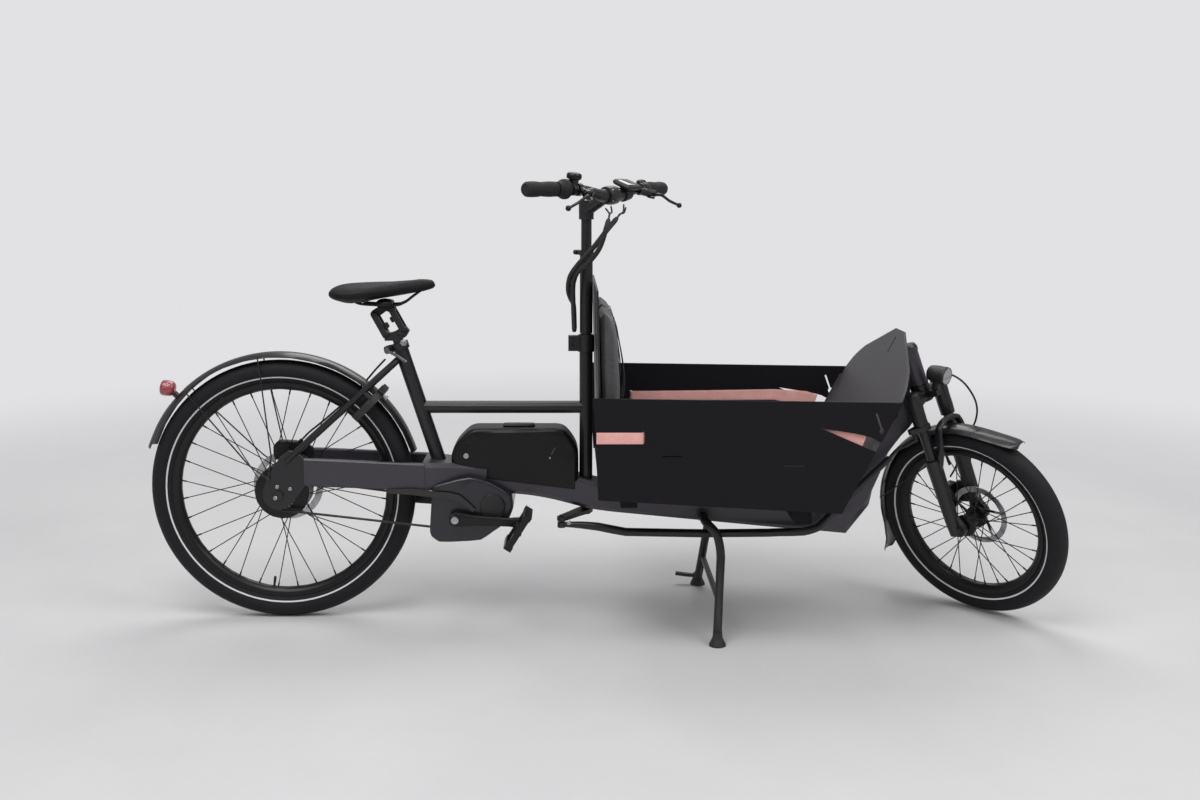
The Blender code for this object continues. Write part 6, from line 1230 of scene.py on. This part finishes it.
def heads(name, body, finish_name, items):
    """One piece of heads, each (node, start, toward, kind, radius, height), that face back along toward."""
    forms = []
    for node, start, toward, kind, radius, height in items:
        rows = [(height * share + lift, radius * wide) for share, lift, wide in HEADS[kind]]
        forms.append(lathed(struck(node, start, toward), -np.asarray(toward, float), rows))
    fitted(name, body, finish_name, forms)


def both_sides(node, x, z, kind, radius, height, reach):
    """The same head on the right and on the left of a node, at one place seen from the side."""
    return [(node, (x, -side * reach, z), (0, side, 0), kind, radius, height) for side in (1, -1)]


def from_right(node, x, z, kind, radius, height):
    """A head on the right of a node, at a place seen from the side."""
    return (node, (x, -0.6, z), (0, 1, 0), kind, radius, height)


def turned_about(matrix, node, start, toward, kind, radius, height):
    """A head whose line of sight is given in a turned frame of its own."""
    way = np.array(matrix.to_3x3()) @ np.array(toward, float)
    return (node, tuple(placed(matrix, start)), tuple(way), kind, radius, height)


def frame_fittings():
    """On the frame: bolts at the rear hub, the battery's lock and lights, a clamp nut and a motor cover."""
    heads("rear_hub_bolts", "frame", "bolt_steel", [
        from_right("rear_triangle", -0.8152, 0.3567, "button", 0.0052, 0.0028),
        from_right("rear_triangle", -0.7831, 0.3515, "button", 0.0052, 0.0028),
        from_right("rear_triangle", -0.8195, 0.3290, "button", 0.0058, 0.0030),
    ])
    heads("battery_lock", "frame", "bolt_steel", [
        from_right("battery", -0.3443, 0.4306, "lock", 0.0068, 0.0014),
    ])
    dots = []
    for k in range(5):
        dots.append(from_right("battery", -0.1290 + 0.0021 * k, 0.4362 + 0.0036 * k, "cap", 0.0009, 0.0004))
    dots.append(from_right("battery", -0.1335, 0.4255, "cap", 0.0024, 0.0007))
    heads("battery_lights", "frame", "clear_lens", dots)
    heads("seat_clamp_nut", "frame", "bolt_steel", [
        ("seat_clamp", (-0.4985, -0.2, 0.7140), (0, 1, 0), "nut", 0.0078, 0.0060),
    ])
    heads("motor_cover", "frame", "moulded", [
        from_right("motor_unit", -0.2780, 0.3085, "cap", 0.0300, 0.0016),
    ])


def moving_fittings():
    """On the moving parts: crank caps, and the bolts of the seatpost's links, the stem and the tie rod."""
    crank = both_sides("crankset", -0.3699, 0.2790, "socket", 0.0095, 0.0022, 0.5)
    heads("crank_caps", "crankset", "bolt_steel", crank)
    for name, body, front, rear in (
        ("lower_link_bolts", "seatpost", (-0.4979, 0.7425), (-0.5419, 0.7300)),
        ("upper_link_bolts", "saddle", (-0.5269, 0.7965), (-0.5709, 0.7840)),
    ):
        links = both_sides("front_post_link", *front, "button", 0.0052, 0.0022, 0.2)
        links += both_sides("rear_post_link", *rear, "button", 0.0052, 0.0022, 0.2)
        heads(name, body, "black_steel", links)
    stem = []
    for y in (-0.014, 0.014):
        for z in (0.7455 - 0.0115, 0.7455 + 0.0115):
            start = (0.2, y, z)
            stem.append(turned_about(BARS_PLACE, "stem", start, (-1, 0, 0), "socket", 0.0034, 0.0020))
    for z in (0.695, 0.722):
        start = (-0.2, 0, z)
        stem.append(turned_about(BARS_PLACE, "stem", start, (1, 0, 0), "socket", 0.0036, 0.0022))
    heads("stem_bolts", "column", "bolt_steel", stem)
    heads("rod_bolt", "tie_rod", "bolt_steel", [
        ("tie_rod", (-0.0852, -0.40, 0.2684), (0, 1, 0), "button", 0.0062, 0.0026),
    ])


def disc_bolts(name, body, node, matrix):
    """Six heads round a brake disc's middle, on its left."""
    items = []
    for a in math.radians(30) + 2 * math.pi * np.arange(6) / 6:
        start = (DISC_BOLTS_OUT * math.cos(a), 0.12, DISC_BOLTS_OUT * math.sin(a))
        items.append(turned_about(matrix, node, start, (0, -1, 0), "button", 0.0036, 0.0016))
    heads(name, body, "bolt_steel", items)


frame_fittings()
moving_fittings()
disc_bolts("rear_disc_bolts", "rear_wheel", "rear_rotor", FRAME_PLACE)
disc_bolts("front_disc_bolts", "front_wheel", "front_rotor", FRONT_HUB_PLACE)


# Round spokes with their nipples, and the valves

SPOKE_RADIUS = 0.00125
NIPPLE_RADIUS = 0.0021
NIPPLE_LENGTH = 0.012
SPOKE_SHORTEST = 0.07
SPOKE_WIDEST = 0.004
SPOKE_POINTS = 12
SPOKE_SIDES = 10
REAR_RIM_INSIDE = 0.2600
FRONT_RIM_INSIDE = 0.1835
REAR_VALVE_AT = math.radians(262)
FRONT_VALVE_AT = math.radians(95)
VALVE_LENGTH = 0.026
VALVE_SIDES = 16


def spoke_lines(node):
    """The inner and the outer end of each spoke's middle line, from the long thin faces of the wheel."""
    points, faces = welded(node)
    corners = points[faces]
    edges = corners[:, [1, 2, 0]] - corners
    longest = np.linalg.norm(edges, axis=2).max(axis=1)
    height = np.linalg.norm(np.cross(edges[:, 0], edges[:, 1]), axis=1) / longest
    thin = faces[(longest > SPOKE_SHORTEST) & (height < SPOKE_WIDEST)]
    label = np.arange(len(points))
    for _ in range(SPOKE_POINTS):
        np.minimum.at(label, thin.reshape(-1), np.repeat(label[thin].min(axis=1), 3))
    lines = []
    hub = points.mean(axis=0)
    for mark in np.unique(label[thin]):
        found = points[label == mark]
        if len(found) > SPOKE_POINTS:
            continue
        away = np.linalg.norm(found - hub, axis=1)
        inner = away < (away.min() + away.max()) / 2
        lines.append((found[inner].mean(axis=0), found[~inner].mean(axis=0)))
    return lines


def laced(node):
    """The wheel's round spokes, each with a nipple at its rim end."""
    forms = []
    for start, stop in spoke_lines(node):
        length = float(np.linalg.norm(stop - start))
        foot = length - NIPPLE_LENGTH
        rows = [
            (-0.002, SPOKE_RADIUS), (foot * 0.5, SPOKE_RADIUS), (foot, SPOKE_RADIUS),
            (foot + 0.0003, NIPPLE_RADIUS * 0.8), (foot + 0.0020, NIPPLE_RADIUS),
            (length + 0.001, NIPPLE_RADIUS),
        ]
        forms.append(lathed(start, stop - start, rows, SPOKE_SIDES))
    fitted(node + "_spokes", node, "spoke_steel", forms)


def valve(node, angle, radius, matrix):
    """A capped valve that stands from the rim to the hub, in a wheel's own frame with its axle along Y."""
    inward = np.array((-math.cos(angle), 0.0, -math.sin(angle)))
    rows = [
        (-0.004, 0.0042), (0.0006, 0.0042), (0.0012, 0.0030), (VALVE_LENGTH * 0.45, 0.0030),
        (VALVE_LENGTH * 0.46, 0.0036), (VALVE_LENGTH, 0.0034), (VALVE_LENGTH + 0.0008, 0.0024),
        (VALVE_LENGTH + 0.0009, 0.0004),
    ]
    rings = placed(matrix, lathed(-inward * radius, inward, rows, VALVE_SIDES))
    fitted(node + "_valve", node, "soft_rubber", [rings])


laced("rear_wheel")
laced("front_wheel")
valve("rear_wheel", REAR_VALVE_AT, REAR_RIM_INSIDE, FRAME_PLACE)
valve("front_wheel", FRONT_VALVE_AT, FRONT_RIM_INSIDE, FRONT_HUB_PLACE)


# Rubber buffers between the arms of the sprung seatpost's links

FRONT_LINK_AT = np.array((-0.5124, 0.0, 0.7695))
REAR_LINK_AT = np.array((-0.5564, 0.0, 0.7570))
LINKS_UP = np.array((-0.029, 0.0, 0.054))
BUFFER_HALF = (0.0076, 0.0102)
BUFFER_LIFT = 0.0082
BUFFER_INSET = 0.0060
BUFFER_ANGLE = math.radians(40)
BUFFER_ROWS = (
    (-0.0134, 0.96), (-0.0110, 1.0), (-0.0080, 1.0), (-0.0068, 0.93), (-0.0056, 1.0), (-0.0012, 1.0),
    (0.0, 0.93), (0.0012, 1.0), (0.0056, 1.0), (0.0068, 0.93), (0.0080, 1.0), (0.0110, 1.0), (0.0134, 0.96),
)


def link_buffers():
    """A ribbed block between each link's arms: the superellipse |u|^5 + |v|^5 = 1 drawn across the bike.

    The front one sits high and the rear one low, so that they pass each other when the links lean.
    """
    up = unit(LINKS_UP)
    ahead = unit(np.cross((0.0, 1.0, 0.0), up))
    angle = 2 * math.pi * np.arange(40) / 40
    u = np.sign(np.cos(angle)) * np.abs(np.cos(angle)) ** 0.4
    v = np.sign(np.sin(angle)) * np.abs(np.sin(angle)) ** 0.4
    shape = u[:, None] * up * BUFFER_HALF[0] + v[:, None] * ahead * BUFFER_HALF[1]
    for name, node, side in (("front_buffer", "front_post_link", 1), ("rear_buffer", "rear_post_link", -1)):
        link = FRONT_LINK_AT if side > 0 else REAR_LINK_AT
        centre = link + (up * BUFFER_LIFT - ahead * BUFFER_INSET) * side
        rings = np.array([centre + (0.0, y, 0.0) + shape * size for y, size in BUFFER_ROWS])
        fitted(name, node, "soft_rubber", [rings], BUFFER_ANGLE)


link_buffers()


# Studio

FLOOR_HALF = 14.0
FLOOR_TONE = (0.60, 0.595, 0.60, 1)
FLOOR_CLOUD = (0.64, 0.637, 0.64, 1)
FADE_FROM = 1.6
FADE_TO = 4.6
WORLD_LIGHT = (0.36, 0.36, 0.37, 1)
WORLD_SEEN = (0.76, 0.755, 0.775, 1)

# Each lamp's place, what it faces, its size and its power
LIGHTS = (
    ((-1.4, -2.0, 4.2), (0.0, 0.0, 0.4), 2.8, 105.0),
    ((2.6, -1.6, 3.6), (0.3, 0.0, 0.4), 2.4, 60.0),
    ((0.0, 2.4, 4.0), (0.0, 0.0, 0.5), 3.0, 85.0),
)


def studio():
    """A pale floor that fades into the backdrop where the camera sees it, three soft lamps and the world."""
    mesh = bpy.data.meshes.new("floor")
    corners = [(x * FLOOR_HALF, y * FLOOR_HALF, 0) for x, y in ((-1, -1), (1, -1), (1, 1), (-1, 1))]
    mesh.from_pydata(corners, [], [(0, 1, 2, 3)])
    tree, shader, place = blank("pale_floor")
    cloud = ranged(tree, noise(tree, place, 1.3, 5.0, Roughness=0.6), 0.3, 0.7)
    feed(tree, shader, Base_Color=mixed(tree, cloud, FLOOR_TONE, FLOOR_CLOUD), Roughness=0.75,
         Specular_IOR_Level=0.2)
    far = ranged(tree, distance_from_middle(tree, place), FADE_FROM, FADE_TO)
    seen = maths(tree, "MULTIPLY", far, add(tree, "LightPath").outputs["Is Camera Ray"])
    pale = add(tree, "Emission", Color=WORLD_SEEN, Strength=1.0).outputs[0]
    both = add(tree, "MixShader", _0=seen, _1=shader.outputs[0], _2=pale).outputs[0]
    feed(tree, tree.nodes["Material Output"], Surface=both)
    mesh.materials.append(FINISHES["pale_floor"])
    linked("floor", mesh)
    for at, aim, size, power in LIGHTS:
        data = bpy.data.lights.new("soft_lamp", "AREA")
        data.size = size
        data.energy = power
        lamp = linked("soft_lamp", data)
        lamp.location = at
        lamp.rotation_euler = (Vector(aim) - Vector(at)).to_track_quat("-Z", "Y").to_euler()
    world = bpy.data.worlds.new("studio")
    world.use_nodes = True
    tree = world.node_tree
    seen = add(tree, "LightPath").outputs["Is Camera Ray"]
    feed(tree, tree.nodes["Background"], Color=mixed(tree, seen, WORLD_LIGHT, WORLD_SEEN), Strength=1.0)
    bpy.context.scene.world = world
    bpy.context.scene.view_settings.view_transform = "Standard"


studio()
